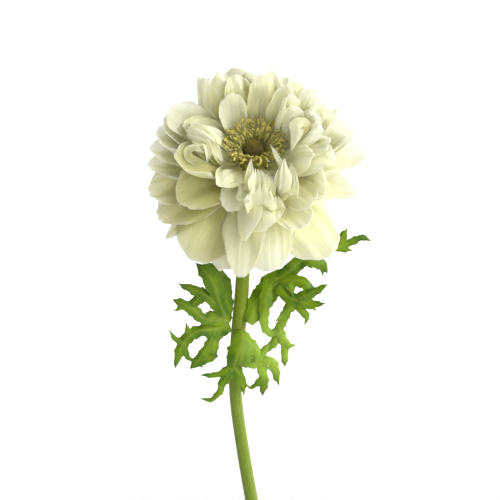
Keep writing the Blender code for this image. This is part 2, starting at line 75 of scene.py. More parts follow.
# Receptacle, turned about the flower's axis: the leans its ball runs between, and the rest as profiles.
RECEPTACLE_RADIUS = 5.7
RECEPTACLE_LEANS = (32, 122)
RECEPTACLE_ROWS, RECEPTACLE_SIDES = 28, 64
RECEPTACLE_TOP = [(0.02, 4.8), (1.5, 4.8)]
RECEPTACLE_NECK = [(4.3, -3.9), (3.7, -4.8), (3.3, -5.4), (3.1, -5.9), (2.6, -6.0), (0.02, -6.0)]

# Stamens, whorl by whorl: how many, the radius and height of their feet, and of their tips.
STAMEN_WHORLS = [(26, 4.2, 5.0, 5.6, 8.9), (32, 4.3, 4.9, 6.9, 10.3), (36, 4.3, 4.8, 8.3, 11.4),
                 (42, 4.4, 4.7, 9.5, 11.7), (42, 4.5, 4.5, 10.5, 11.3)]
STAMEN_SEED = 5
STAMEN_SHIFT, STAMEN_TWIST = 0.35, 0.07
STAMEN_REACH_SPREAD, STAMEN_HEIGHT_SPREAD = 0.5, 0.55
FILAMENT_ROWS, FILAMENT_SIDES = 7, 6
# Where a filament bends, as shares of the way out and up, and its radius on the way.
FILAMENT_BEND = (0.35, 0.75)
FILAMENT_RADII = [(0, 0.24), (0.9, 0.14), (1, 0.02)]
ANTHER_ROWS, ANTHER_SIDES = 8, 10
ANTHER_HALF_LENGTH, ANTHER_HALF_WIDTH = (0.95, 1.3), (0.5, 0.68)
ANTHER_TURN, ANTHER_GROOVE, ANTHER_FULLNESS, ANTHER_FLATNESS, ANTHER_BOW = 0.55, 0.28, 0.75, 0.75, 0.18
# The mark that tells filaments from anthers, and the cone's body from its pistils.
FIRST_KIND, SECOND_KIND = 0.1, 0.9

# Seed cone: a dome round a middle on the flower's axis, set with short pistils.
DOME_RADIUS, DOME_MIDDLE, DOME_RISE, DOME_LOWEST_LEAN = 3.3, 6.9, 3.4, 118
DOME_ROWS, DOME_SIDES, DOME_SEED = 40, 64, 9
PISTILS, PISTIL_SIDES = 420, 5
PISTIL_REACH, PISTIL_FEET = 1.25, (3.15, 3.15, 3.25)
PISTIL_LIFT, PISTIL_TURN, PISTIL_LENGTH, PISTIL_HOOK = 0.35, 0.16, (0.45, 0.75), 0.2
PISTIL_RADII = (0.15, 0.16, 0.13, 0.09, 0.02)

# A direction that no tube runs along, to set its rings by.
TUBE_HELPER = (0.31, 0.84, 0.44)

# Petals, outermost first. Angles in degrees, lengths in millimetres:
# turn is the compass place round the flower's axis, 0 up and 90 to +X;
# middle and tip are the angles from the axis that the petal's centre line steers by;
# then length, half width, how far the edges rise, sideways sweep, and how pointed the end is.
PETALS = [
    ("left_spur", 231, 102, 107, 44.5, 5, 0.5, 0, 0.8),
    ("bottom_left_under", 198, 104, 114, 44, 9.5, -1, 0, 0.3),
    ("lower_right_broad", 137, 100, 114, 46, 14, -2, 0, 0.1),
    ("bottom_right", 168, 98, 113, 43.5, 11, -1, 3, 0.2),
    ("lower_left_broad", 214, 98, 112, 44.5, 14, -2, 0, 0.1),
    ("right_low", 115, 92, 89, 42, 9.5, 1.5, 0, 0.5),
    ("left_low", 236, 94, 98, 43, 11, 1, 0, 0.2),
    ("left_broad", 248, 90, 91, 42, 11.5, 1.5, 0, 0.15),
    ("right_point", 95, 88, 80, 43, 10.5, 1.5, 0, 0.4),
    ("left_point", 260, 86, 82, 41, 9, 1.5, 0, 0.4),
    ("right_curled", 86, 84, 70, 40.5, 9, 1.2, 0, 0.2),
    ("left_second", 268, 82, 77, 40, 9, 1.5, 0, 0.3),
    ("right_shoulder", 73, 84, 66, 37.6, 8.5, 0.8, 0, 0.3),
    ("left_third", 275, 80, 72, 39, 9, 2, 0, 0.2),
    ("upper_right_outer", 52, 82, 60, 36.2, 7.5, 0.8, 0, 0.3),
    ("left_upper", 283, 78, 67, 38, 9, 2, 0, 0.1),
    ("top_back", 345, 80, 57, 36.3, 9, 1.5, 0, 0.1),
    ("upper_left_strap", 317, 78, 54, 38, 5.5, 1, 0, 0.4),
    ("top_right_back", 28, 82, 56, 34.3, 7, 1, 0, 0.3),
    ("upper_right_back", 42, 80, 55, 34.6, 7, 0.8, 0, 0.3),
    ("top_middle", 355, 78, 52, 33.8, 8, 1.5, 0, 0.1),
    ("left_arch", 290, 74, 66, 38, 8, 2, -3, 0.1),
    ("top_left_back", 327, 76, 50, 36.8, 7.5, 1.5, 0, 0.4),
    ("bottom_bright", 187, 92, 114, 45.5, 8.5, -2, 0, 0.4),
    ("front_fold", 172, 84, 98, 34.5, 7.5, -1, 0, 0.15),
    ("front_lobe", 183, 82, 101, 34.5, 5, -1, 0, 0.1),
    ("right_cup_low", 128, 84, 90, 34, 9, 1.5, 0, 0.15),
    ("left_middle", 230, 84, 85, 36, 10, 1, 0, 0.15),
    ("top_right_oval", 17, 76, 49, 35, 6.5, 1.2, 0, 0.2),
    ("right_bright", 110, 80, 74, 35, 8.5, 1, 0, 0.2),
    ("left_bright", 245, 76, 67, 34.5, 10, 2.5, 3, 0.1),
    ("top_left_inner", 338, 70, 46, 34, 7, 1.2, 0, 0.1),
    ("top_right_inner", 9, 70, 45, 33.8, 6, 1, 0, 0.2),
    ("right_inner_high", 78, 78, 60, 32, 6.5, 1, 0, 0.2),
    ("upper_right_inner", 39, 74, 51, 32.5, 6, 1, 0, 0.3),
    ("right_cup", 119, 80, 72, 30, 6.5, 1, 0, 0.2),
    ("front_patch", 200, 76, 84, 28.5, 6, 1, 0, 0.2),
    ("rosette_outer", 282, 74, 62, 31, 7.5, 2, 0, 0.1),
    ("upper_left_cup", 324, 64, 41, 28.5, 6.5, 1.5, 0, 0.1),
    ("right_inner_low", 142, 78, 72, 27.5, 5.5, 1, 0, 0.4),
    ("front_small", 160, 76, 72, 25, 4.2, 1, 0, 0.4),
    ("front_narrow", 192, 72, 73, 27, 1.8, 0.5, 0, 0.3),
    ("lower_left_cup", 212, 76, 66, 28, 7.5, 1.5, 0, 0.5),
    ("rosette_middle", 273, 74, 61, 27, 6, 2, 0, 0.1),
    ("curl_high", 55, 74, 46, 30, 3.4, 0.8, 0, 0.3),
    ("rosette_inner", 270, 74, 61, 22.5, 4.5, 1.5, 0, 0.15),
    ("inner_point_right", 135, 74, 50, 21.5, 3.6, 1.2, 0, 0.8),
    ("curl_low", 90, 76, 48, 24.5, 3.8, 1, -4, 0.2),
    ("front_curl", 163, 74, 56, 20.5, 2.8, 0.8, 0, 0.5),
    ("front_spike", 187, 70, 34, 18.5, 1.9, 0.5, 0, 0.9),
]
# Smaller petals that grow with one of the petals above and lie next inside it.
COMPANIONS = [
    ("right_shoulder", 66, 80, 61, 35.5, 6, 0.8, 0, 0.3),
    ("upper_right_outer", 60, 78, 57, 36, 5.5, 0.8, 3, 0.4),
    ("right_curled", 94, 80, 66, 38.5, 6.5, 1, 0, 0.2),
    ("right_inner_high", 90, 78, 60, 32.5, 6, 1, 0, 0.2),
    ("upper_right_inner", 53, 74, 49, 31.5, 4.5, 1, 0, 0.4),
    ("upper_right_inner", 67, 76, 51, 29, 4, 0.8, 0, 0.3),
    ("right_bright", 102, 80, 70, 34.5, 7, 1, 0, 0.2),
    ("right_cup_low", 131, 82, 79, 34.5, 8, 1.2, 0, 0.1),
    ("right_cup_low", 142, 84, 81, 35.5, 7, 1, 0, 0.1),
    ("bottom_right", 153, 88, 86, 39, 8, 1, 0, 0.1),
    ("right_inner_low", 150, 78, 77, 29.5, 5, 0.8, 0, 0.3),
    ("front_small", 169, 78, 76, 26.5, 4.2, 0.8, 0, 0.2),
    ("rosette_outer", 281, 74, 62, 29.3, 6.8, 2, 0, 0.1),
    ("rosette_middle", 273, 74, 61, 25, 5.2, 2, 0, 0.1),
]
# Small petals that curl up before the stamens. Each stands in for its petal above as one or more free
# strips: how far its edges come forward, how ragged its end is, and points of turn, lean, distance and
# half width.
CURLS = {
    "front_spike": [
        (0.35, 0, [(185, 100, 6.5, 0.8), (185, 96, 12, 1.2), (185, 84, 18, 1.7), (185, 68, 20.5, 2),
                   (185, 55, 19.3, 1.9), (186, 46, 18, 1.2), (186, 36, 17, 0.1)]),
        (0.5, 1.5, [(190, 100, 8, 1), (190, 94, 16, 1.4), (190, 86, 23, 1.2), (191, 76, 25, 0.9),
                    (194, 62, 24.5, 0.35)]),
    ],
    "front_curl": [
        (0.7, 1, [(176, 100, 6.5, 0.8), (176, 96, 14, 1.3), (176, 85, 21, 2), (176, 72, 24.2, 2.9),
                  (176, 61, 23, 3.2), (175, 55, 21.5, 3), (175, 49, 20, 2)]),
        (0.5, 0.6, [(168, 100, 7, 0.8), (168, 94, 15, 1.3), (168, 84, 22, 2), (168, 72, 25, 2.4),
                    (166, 64, 24.5, 2.4), (164, 59, 23, 1.8), (164, 54, 20.5, 0.5)]),
        (0.45, 1.9, [(175, 102, 10, 0.8), (175, 97, 18, 1.6), (175, 90, 23.5, 3.2), (175, 81, 26.2, 4.8),
                     (175, 73, 27.2, 5.6), (174, 67, 27, 5.6), (173, 61, 26, 4.8)]),
        (0.45, 0.8, [(162, 102, 10, 0.8), (162, 96, 18, 1.4), (162, 89, 24.5, 2.2), (162, 82, 27, 3),
                     (163, 76, 27.6, 3.2), (163, 70, 27, 2)]),
    ],
    "inner_point_right": [
        (-0.3, 0.4, [(158, 100, 6.5, 0.8), (158, 92, 14, 1.3), (157, 80, 22, 2.2), (156, 68, 26.2, 2.9),
                     (151, 58, 26, 3.1), (146, 51, 24.5, 2.6), (134, 46, 21.5, 0.3)]),
        (0.35, 0.4, [(150, 104, 8, 0.8), (150, 98, 17, 1.2), (150, 88, 24, 1.6), (149, 77, 27, 2),
                     (145, 68, 27, 2.2), (141, 60, 25.5, 2), (131, 54, 22.5, 0.3)]),
    ],
    "curl_low": [
        (-0.4, 0.4, [(100, 84, 7, 0.8), (97, 74, 15, 1.6), (90, 60, 22.5, 2.4), (83, 46, 26, 2.8),
                     (86, 39, 25, 2.8), (97, 42, 23, 2.4), (117, 49, 20, 0.2)]),
        (0.2, 0, [(141, 92, 7, 0.4), (141, 78, 13, 0.7), (140, 56, 19.5, 1.1), (135, 39, 17.8, 0.9),
                  (122, 26, 16, 0.05)]),
    ],
    "rosette_inner": [
        (-0.35, 0.8, [(262, 88, 6.5, 0.9), (262, 70, 13, 1.8), (254, 52, 18, 2.8), (257, 45, 23, 3.6),
                      (265, 48, 27, 4), (271, 54, 30.5, 3.4)]),
        (0.4, 0.9, [(256, 90, 7, 0.8), (257, 74, 16, 1.4), (261, 60, 23.5, 2.4), (264, 56, 27, 2.8),
                    (262, 55, 28.5, 2.2)]),
        (0.6, 0.6, [(244, 92, 7, 0.8), (246, 80, 16, 1.2), (252, 68, 25.5, 1.8), (255, 62, 28, 1.8),
                    (252, 55, 27.8, 1.4), (244, 52, 26, 0.4)]),
        (0.6, 0.8, [(252, 90, 7, 0.8), (253, 72, 15, 1.2), (258, 54, 23.5, 1.6), (253, 48, 24.6, 1.6),
                    (243, 50, 24.8, 1.4), (236, 55, 25, 0.5)]),
        (0.5, 0.5, [(246, 88, 7, 0.8), (248, 68, 14, 1.1), (250, 47, 22, 1.5), (242, 44, 23, 1.5),
                    (232, 46, 22.5, 1.2), (225, 49, 22, 0.4)]),
    ],
}
# The way the strips turn their broad side.
CURL_FACING = (0.0, -0.93, 0.36)
CURL_ROWS, CURL_COLUMNS = 40, 20
CURL_LEAST_HALF_WIDTH, CURL_UNEVEN_SIDES, CURL_WAVE = 0.05, 0.12, 0.14
# The half width and length that the pattern of the tissue takes a strip to have.
CURL_TISSUE = (2.5, 20)

# How petals are laid on each other: the spacing is (distance from the centre, gap).
PETAL_START = 6.0
PETAL_SPACING = [(6.0, 0.42), (20.0, 0.6)]
COMPANION_START = 10.0
SAMPLE_ROWS, SAMPLE_COLUMNS = 49, 32
FINE_ROWS, FINE_COLUMNS = 58, 32
SPREAD_STEPS = 3
RING_STEP, SPARE_RINGS = 0.5, 8
SECTORS = 360
FIRST_PETAL_SEED = 11
EVEN_SHARE = 0.45
# Thickness of petals and strips: the least at the middle, what the base adds, and the share the rim loses.
PETAL_THICKNESS, CURL_THICKNESS = (0.16, 0.2, 0.7), (0.14, 0.1, 0.6)

# Outline of a petal: widths in millimetres, places as shares of its length.
USUAL_HALF_WIDTH = 8
PETAL_BASE_HALF_WIDTH = 1.1
PETAL_WIDEST, WIDENING = 0.8, 1.6
NARROWING_FROM, NARROWING = 0.5, (0.06, 0.4)
SHORT_SIDES, POINT_CURVE = (0.8, 0.6), 1.3
RAGGED_END, UNEVEN_SIDES = 0.22, 0.05
# Waves and folds of a petal, for one of the usual half width.
EDGE_WAVE, BROAD_WAVE, FINE_WAVE = 0.75, 0.3, 0.12
RUFFLE, RUFFLED_TURN = 0.6, 85
CREASE, CREASE_HALF_WIDTH = 0.4, 0.16
TIP_CURL, TIP_CURL_FROM, TIP_CURL_OVER = (0.2, 1.4), 0.78, 0.22

# Painted light and shade round the flower, as (turn, share): the share paints a petal pale cream where it
# stands in the light, as on the right, and the rest of the share paints it yellow-green where it stands in
# shade, as low on the left.
PAINTED_LIGHT_AND_SHADE = [(0, 0.42), (40, 0.55), (66, 1.0), (98, 1.0), (118, 0.5), (137, 0.22), (155, 0.25),
            (175, 0.6), (198, 0.3), (210, 0.0), (250, 0.0), (266, 0.75), (285, 0.75), (315, 0.5),
            (360, 0.42)]
PALENESS_SPREAD = 0.2
# Petals shorter than the inner length are painted paler, as lit, though they stand in shade deep in the
# flower; the curled strips take a painted light share of their own.
INNER_LENGTH, INNER_PAINTED_LIGHT, CURL_PAINTED_LIGHT = 29.0, 0.5, 0.6

# Petal seats on the receptacle: rings of them, each a row higher and half a seat further round.
SEAT_ROWS, SEATS_PER_ROW = 6, 13
LOWEST_SEAT_LEAN, SEAT_ROW_STEP = 110, 9
SEAT_ROW_COST = 14
SEAT_REACH = 16
# The least lean of a petal at a distance from the centre, as (distance, lean), so that the stamens
# stay open to view, and how softly it holds. Petals no wider than the free half width may pass it.
STAMEN_EDGE = [(16.5, 53.0), (19.5, 20.0)]
STAMEN_EDGE_SOFTNESS = math.radians(3)
FREE_HALF_WIDTH = 2.2

# Bract lobes: each is a ribbon through (x, y, z) points from the whorl, with its width there.
LEFT_BRACT = [
    [(-4.6, -2, 4.5, 4.5), (-5.6, -2.2, 10.5, 7), (-7.2, -2.8, 17, 8), (-10.2, -3.2, 22, 6),
     (-13.2, -3, 25, 2)],
    [(-3.8, -3.2, 1.5, 6), (-8.5, -5, 3.2, 6), (-12.5, -6.5, 3.6, 5.2)],
    [(-3.8, -3.2, 0.5, 6), (-8.5, -5.5, -1, 6.4), (-13, -7, -1.2, 5.8)],
    [(-3.5, -1.5, 1, 4), (-5, -3, 3.5, 6), (-7, -4.5, 8, 5.5), (-9.5, -6, 16.5, 6.5),
     (-12.5, -6.5, 21.5, 5.5), (-16.5, -5, 25, 2)],
    [(-5, -3, 4, 5), (-9.5, -5, 9.7, 4.5), (-13.5, -6, 13, 4.2), (-18.5, -7, 15.5, 3.2),
     (-23.5, -7.5, 17.5, 0.9)],
    [(-4, -3, 2.5, 5), (-9.5, -6, 2.6, 3.6), (-14, -7.5, 4, 4), (-18, -8.5, 7.7, 4.6),
     (-22, -9, 10, 3.6), (-25.3, -9, 11.5, 2.4)],
    [(-21, -9, 9.3, 2.2), (-25, -9.5, 7, 0.9)],
    [(-13.5, -6, 12.7, 4), (-16, -7, 11, 4), (-18, -8, 9, 4)],
    [(-3.6, -3, 0.5, 5), (-9.5, -6, -0.8, 4.8), (-15, -8, -0.9, 4.6), (-19.2, -9, -3, 4.5),
     (-22, -9.5, -6.7, 4), (-23.5, -10, -11, 3), (-24.6, -10, -15.5, 0.9)],
    [(-21, -9.5, -5.6, 2.6), (-24.2, -9.5, -4, 2), (-27, -9.5, -0.3, 0.9)],
    [(-19.6, -9, -1.9, 2.2), (-20.4, -9, 2.7, 0.9)],
    [(-9, -6, -1.5, 3.6), (-11.5, -8, -6.3, 3.2), (-14.2, -9, -10.3, 3.4), (-16.5, -9.5, -13.3, 3.8),
     (-18.8, -9.5, -15.6, 2.6)],
    [(-16.5, -9.5, -13, 3), (-13.8, -9.5, -15.2, 1.2)],
    [(-20.8, -9.5, -7.5, 2.2), (-19.8, -9.5, -11, 2), (-17, -9.5, -12.6, 2.4)],
    [(-7.3, -5, -1.5, 3.6), (-9.2, -7, -6.3, 2.8), (-10, -8.5, -11, 3)],
    [(-17.3, -9.5, -12.6, 3), (-13, -9, -12, 3.4), (-8, -8.5, -10.8, 2.6)],
]
FRONT_BRACT = [
    [(1.5, -6, -3, 7), (1.8, -9.5, -6, 10.5), (1.2, -11.5, -10, 11), (0.4, -11, -14.5, 8.5)],
    [(0.6, -3.6, -1.4, 4.5), (1.5, -8.5, -3.6, 7.5), (0.4, -11.5, -7.5, 8), (-1.2, -12, -12.2, 7),
     (-2.3, -10.5, -16.3, 5.5)],
    [(-2.7, -11, -14.7, 3.2), (-8, -11.5, -17.4, 2.2), (-15, -11.5, -17.8, 0.9)],
    [(-2.6, -10.5, -15.5, 4.4), (-6, -11, -20.5, 3.2), (-7.7, -11, -24.9, 2.2),
     (-10.8, -11, -27.6, 1.6), (-15, -11, -27.2, 0.9)],
    [(-1.5, -10.8, -14.5, 4.6), (1.2, -8.5, -20.4, 3), (2, -7, -27, 0.9)],
    [(2.4, -8.5, -4.5, 4.2), (6.6, -9.5, -8, 3.6), (6, -10, -13, 1.2)],
    [(0.5, -11, -11.5, 4.6), (5.5, -8, -13.5, 4.2), (12, -7, -13, 3.4), (13.8, -7, -16, 3.6),
     (15.6, -7, -23, 1.2)],
    [(8.5, -7.5, -13.5, 4), (9.7, -7, -20.5, 3.4), (9.2, -7, -27, 2.2)],
    [(9, -7.2, -20, 2.2), (5, -7.5, -23.7, 1.4), (2.6, -8.5, -22, 0.9)],
    [(4.5, -8.2, -12.5, 3), (9.5, -6.5, -9.5, 3), (12, -6, -6, 1)],
]
RIGHT_BRACT = [
    [(3.8, -3.9, 1, 4.2), (5.8, -3, 5, 7), (8.6, -1.2, 9.6, 9), (12, -0.4, 13.8, 8.5),
     (15.5, -0.4, 16.8, 6.5)],
    [(4.7, 0.2, 1.4, 2.4), (6.8, 0.6, 6.5, 5), (10, 1, 12.2, 7.5), (13.4, 0.8, 16.6, 8),
     (18, 0, 19.2, 6.5), (21, -1, 22.4, 5.6), (24.6, -2, 25.6, 5.2), (28.8, -3, 25.6, 5),
     (32.3, -3, 24, 4.4), (34.2, -3, 20.8, 2.4)],
    [(32, -3, 23, 2.2), (32.6, -3, 19.4, 0.9)],
    [(24.6, -2, 26, 2), (24.6, -2, 29, 0.9)],
    [(15.7, -0.5, 16.7, 5), (21, -3, 18, 4.4), (25.7, -5, 17, 4.4), (27, -6, 13.6, 4.4),
     (23.5, -6, 10.5, 4.6)],
    [(15.5, -1.5, 15.5, 4), (18.5, -4, 12, 4.6), (23, -5.8, 10.3, 5.2), (28, -7, 9.3, 3.4),
     (33.4, -8, 9.8, 0.9)],
    [(23, -5.5, 11, 5), (27.5, -7, 13.5, 3.6), (31, -7.5, 15.3, 2.6), (34.2, -8, 17.4, 0.9)],
    [(23, -5.5, 10, 4.4), (25, -6.5, 6, 3.2), (26.3, -7, 3.9, 2.2), (25.3, -7, 1, 0.9)],
    [(22, -5.5, 9.5, 4), (19.3, -6, 6.9, 2.6), (15.9, -6, 3.8, 1.6), (13.9, -6, 2, 0.9)],
    [(28, -7, 9, 2), (29.8, -7.5, 6.4, 0.9)],
    [(20.3, -3, 17, 2.8), (20.6, -4.8, 12, 2.8)],
    [(12.5, 0, 15.5, 5.5), (10.8, -2.5, 11.8, 5), (10, -4, 6.2, 4.2), (10, -4, 0.5, 3.2),
     (12.2, -2, -3.2, 2.8), (15.7, -0.5, -2, 3)],
    [(9.5, -1.5, 11, 6), (8.2, -1.5, 6.5, 5), (6.4, -1.2, 2.6, 3.6)],
    [(19.5, -4.8, 8.5, 3.4), (18, -1.5, 3.5, 3.4), (15.7, 0, -2, 3.6), (14.2, 0, -6.5, 3.4),
     (11.2, -1, -11, 2.2)],
    [(15.7, 0, -2, 3.2), (17.7, 0, -7.5, 3), (18, 0, -12.5, 3), (18, 0, -17, 2.4)],
    [(17.3, 0, -6.5, 2.6), (20, 0, -8.5, 2.2), (22.3, 0, -8.5, 1.2)],
    [(19.5, -0.6, 20.8, 4.5), (23.5, 0.8, 23.6, 4.2), (28, 4, 26.6, 4), (33, 7.5, 29, 3.6),
     (39.5, 10, 29, 3.6), (45, 11, 31, 2.6), (48.5, 11.5, 32.3, 2.4), (51.8, 12, 30.8, 1.6)],
    [(39, 10, 29, 3.4), (41, 10.5, 33, 3.2), (42.6, 11, 36, 1)],
    [(39, 10, 28.5, 3.2), (44.5, 10, 27.3, 1.6)],
]
# The way the lobes turn their broad side.
LOBE_FACING = (0.15, -0.9, 0.4)
LOBE_STEPS, LOBE_COLUMNS = 16, 10
# How a leaf's lobes grow together: the voxel size, and how much and how often the skin is eased.
LEAF_VOXEL, LEAF_EASING, LEAF_EASINGS = 0.21, 0.5, 3
LOBE_LEAST_WIDTH, LOBE_THICKNESS, LOBE_THIN_EDGE = 0.5, 0.5, 0.3
LOBE_FOLD, LOBE_SWAY = 0.28, 0.12
# A lobe whose last width is less than the blunt one tapers over its last millimetres.
BLUNT_LOBE = 2.9
TIP_TAPER, TIP_LEAST, TIP_CURVE = 3.5, 0.12, 0.7
# Teeth on the margins: where the first one stands, how far apart, how high, their two flanks, and how
# near the tip the last one may stand.
FIRST_TOOTH, TOOTH_STEP, TOOTH_REACH = (1.5, 4.0), (2.6, 5.5), (0.25, 0.7)
TOOTH_BACK, TOOTH_FRONT = (1.6, 2.6), 0.6
LAST_TOOTH, TOOTH_LEAST_HALF_WIDTH, MARGIN_WAVE = 1, 0.8, 0.04
# The middle of the thin lobes low on the right, from the whorl: round it a paler green is painted, for the
# light that shines through them.
BACKLIT_LOBES = (15.0, -3.0, -8.0)

# Studio: the suns are given by name, strength, width in degrees and direction.
FLOOR_REACH = 9000
WORLD_STRENGTH = (0.12, 0.88)
SUNS = [("key", 1.72, 35, (-0.75, 0.45, -0.5)), ("back", 2.1, 35, (-0.75, -0.35, -0.55)),
        ("fill", 0.5, 60, (-0.5, 0.8, -0.25))]
# Camera: its distance in metres, and the size of one pixel of the photo at the flower in millimetres.
LOOK_DOWN, CAMERA_DISTANCE = math.radians(10), 0.7
PHOTO_PIXELS, PIXEL = 500, 0.38
CAMERA_TARGET = (-8.9, -8.0, 246.0)
SENSOR = 36


# Node helpers.

class Graph:
    """Builds a material's nodes with little writing."""

    def __init__(self, name):
        self.material = bpy.data.materials.new(name)
        self.material.use_nodes = True
        self.tree = self.material.node_tree
        self.shader = self.tree.nodes["Principled BSDF"]

    def node(self, kind, settings=None, **inputs):
        made = self.tree.nodes.new(kind)
        for key, value in (settings or {}).items():
            setattr(made, key, value)
        for key, value in inputs.items():
            self.feed(made.inputs[key.replace("_", " ")], value)
        return made

    def feed(self, socket, value):
        if isinstance(value, bpy.types.NodeSocket):
            self.tree.links.new(value, socket)
        else:
            socket.default_value = value

    def math(self, operation, first, second=0.0):
        made = self.node("ShaderNodeMath", {"operation": operation})
        self.feed(made.inputs[0], first)
        self.feed(made.inputs[1], second)
        return made.outputs[0]

    def vector_math(self, operation, first, second=(0.0, 0.0, 0.0)):
        made = self.node("ShaderNodeVectorMath", {"operation": operation})
        self.feed(made.inputs[0], first)
        made.inputs[1].default_value = second
        return made.outputs

    def stretched(self, vector, scale):
        return self.vector_math("MULTIPLY", vector, scale)["Vector"]

    def ramp(self, value, *stops):
        """Colours along a value: each stop is (place, colour), and a number for a colour is a grey."""
        made = self.node("ShaderNodeValToRGB")
        elements = made.color_ramp.elements
        while len(elements) < len(stops):
            elements.new(0.5)
        for element, (place, colour) in zip(elements, stops):
            element.position = place
            element.color = (*colour, 1.0) if isinstance(colour, tuple) else (colour, colour, colour, 1.0)
        self.feed(made.inputs["Fac"], value)
        return made.outputs["Color"]

    def mix(self, share, first, second):
        made = self.node("ShaderNodeMix", {"data_type": "RGBA"})
        self.feed(made.inputs["Factor"], share)
        for socket, value in ((made.inputs[6], first), (made.inputs[7], second)):
            self.feed(socket, (*value, 1.0) if isinstance(value, tuple) else value)
        return made.outputs[2]

    def noise(self, vector, scale, detail=3.0, roughness=0.5):
        made = self.node("ShaderNodeTexNoise", Scale=scale, Detail=detail, Roughness=roughness)
        self.feed(made.inputs["Vector"], vector)
        return made.outputs["Fac"]

    def attribute(self, name):
        """A mesh attribute's vector and its three parts."""
        found = self.node("ShaderNodeAttribute", {"attribute_name": name})
        parts = self.node("ShaderNodeSeparateXYZ", Vector=found.outputs["Vector"])
        return found.outputs["Vector"], parts.outputs[0], parts.outputs[1], parts.outputs[2]

    def position(self):
        return self.node("ShaderNodeTexCoord").outputs["Object"]

    def bump(self, height, strength, distance):
        made = self.node("ShaderNodeBump", Height=height, Strength=strength, Distance=distance)
        self.feed(self.shader.inputs["Normal"], made.outputs[0])

    def base(self, colour):
        self.feed(self.shader.inputs["Base Color"], colour)

    def fixed(self, **values):
        for key, value in values.items():
            self.shader.inputs[key.replace("_", " ")].default_value = value


# Mesh helpers. Lengths are in millimetres until a mesh is made.

class Pieces:
    """Gathers shells into one mesh, with vector attributes on its points."""

    def __init__(self):
        self.points, self.faces, self.marks, self.count = [], [], {}, 0

    def add(self, points, faces, **marks):
        points = np.asarray(points, float).reshape(-1, 3)
        self.points.append(points)
        self.faces.append(faces + self.count)
        for key, values in marks.items():
            self.marks.setdefault(key, []).append(np.broadcast_to(values, points.shape))
        self.count += len(points)

    def add_rings(self, rings, place, inside_out=False):
        """Adds rings of points, one joined to the next."""
        faces = grid_faces(len(rings) - 1, rings.shape[1], wrap=True)
        self.add(rings, faces[:, ::-1] if inside_out else faces, place=place)

    def make(self, name, material):
        mesh = bpy.data.meshes.new(name)
        points = np.concatenate(self.points) * MM
        mesh.from_pydata(points.tolist(), [], np.concatenate(self.faces).tolist())
        for key, values in self.marks.items():
            mark(mesh, key, np.concatenate(values))
        mesh.materials.append(material)
        mesh.shade_smooth()
        return place_object(name, mesh)


def mark(mesh, name, values):
    layer = mesh.attributes.new(name, "FLOAT_VECTOR", "POINT")
    layer.data.foreach_set("vector", np.ascontiguousarray(values, np.float32).ravel())


def place_object(name, data):
    obj = bpy.data.objects.new(name, data)
    bpy.context.scene.collection.objects.link(obj)
    return obj


def settle(obj, node):
    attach(obj, "root")
    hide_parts(node)


def grid_faces(rows, columns, wrap=False, start=0):
    """Quads of a grid of (rows + 1) by (columns + 1) points, or one that closes round its columns."""
    width = columns if wrap else columns + 1
    i, j = np.meshgrid(np.arange(rows), np.arange(columns), indexing="ij")
    k = (j + 1) % width if wrap else j + 1
    quads = np.stack([i * width + j, i * width + k, (i + 1) * width + k, (i + 1) * width + j], axis=-1)
    return quads.reshape(-1, 4) + start


def unit(vectors):
    """The same directions, each 1 long."""
    return vectors / np.linalg.norm(vectors, axis=-1, keepdims=True)


def heading(route):
    """The direction of a route at each of its points."""
    return unit(np.gradient(route, axis=0))


def travelled_on(route):
    """How far along a route each of its points lies."""
    return np.concatenate([[0], np.cumsum(np.linalg.norm(np.diff(route, axis=0), axis=1))])


def angles_round(sides):
    return np.linspace(0, 2 * np.pi, sides, endpoint=False)


def turned(profile, sides):
    """Rings of points: a profile of (radius, height) points turned about the vertical axis."""
    profile = np.asarray(profile, float)
    w = angles_round(sides)
    return np.stack([profile[:, :1] * np.cos(w), profile[:, :1] * np.sin(w), profile[:, 1:] + 0 * w], axis=-1)


def tube(route, radii, sides):
    """The rings of points of a tube along a route."""
    route = np.asarray(route, float)
    ahead = heading(route)
    across = unit(np.cross(ahead, TUBE_HELPER))
    over = np.cross(ahead, across)
    w = angles_round(sides)[None, :, None]
    ring = np.cos(w) * across[:, None] + np.sin(w) * over[:, None]
    return route[:, None] + np.asarray(radii, float)[:, None, None] * ring


def curve_between(before, first, second, after, u):
    """The point at share u between two of four neighbouring points, on a smooth curve through all."""
    return 0.5 * (2 * first + (second - before) * u
                  + (2 * before - 5 * first + 4 * second - after) * u**2
                  + (3 * first - before - 3 * second + after) * u**3)


def smooth_route(points, steps):
    """Points along a smooth curve through the given points."""
    points = [np.array(point, float) for point in points]
    padded = [2 * points[0] - points[1], *points, 2 * points[-1] - points[-2]]
    route = []
    for four in zip(padded, padded[1:], padded[2:], padded[3:]):
        route += [curve_between(*four, step / steps) for step in range(steps)]
    return np.array(route + [points[-1]])


def finer(values, count):
    """Resamples along the first axis to count + 1 rows, on smooth curves through the old rows."""
    last = len(values) - 1
    place = np.linspace(0, last, count + 1)
    start = np.minimum(place.astype(int), last - 1)
    padded = np.concatenate([2 * values[:1] - values[1:2], values, 2 * values[-1:] - values[-2:-1]])
    return curve_between(*(padded[start + k] for k in range(4)), (place - start)[:, None])


def skin(points, thickness):
    """A closed thin shell round a grid of points, thickness given at each."""
    rows, columns = points.shape[0] - 1, points.shape[1] - 1
    normal = np.cross(np.gradient(points, axis=0), np.gradient(points, axis=1))
    normal /= np.maximum(np.linalg.norm(normal, axis=2), 1e-9)[..., None]
    top = points + normal * thickness[..., None] / 2
    bottom = points - normal * thickness[..., None] / 2
    count = (rows + 1) * (columns + 1)
    upper = grid_faces(rows, columns)
    lower = grid_faces(rows, columns, start=count)[:, ::-1]
    index = np.arange(count).reshape(rows + 1, columns + 1)
    rim = np.concatenate([index[0, :-1], index[:-1, -1], index[-1, :0:-1], index[:0:-1, 0]])
    after = np.roll(rim, -1)
    side = np.stack([after, rim, rim + count, after + count], axis=1)
    return np.concatenate([top.reshape(-1, 3), bottom.reshape(-1, 3)]), np.concatenate([upper, lower, side])


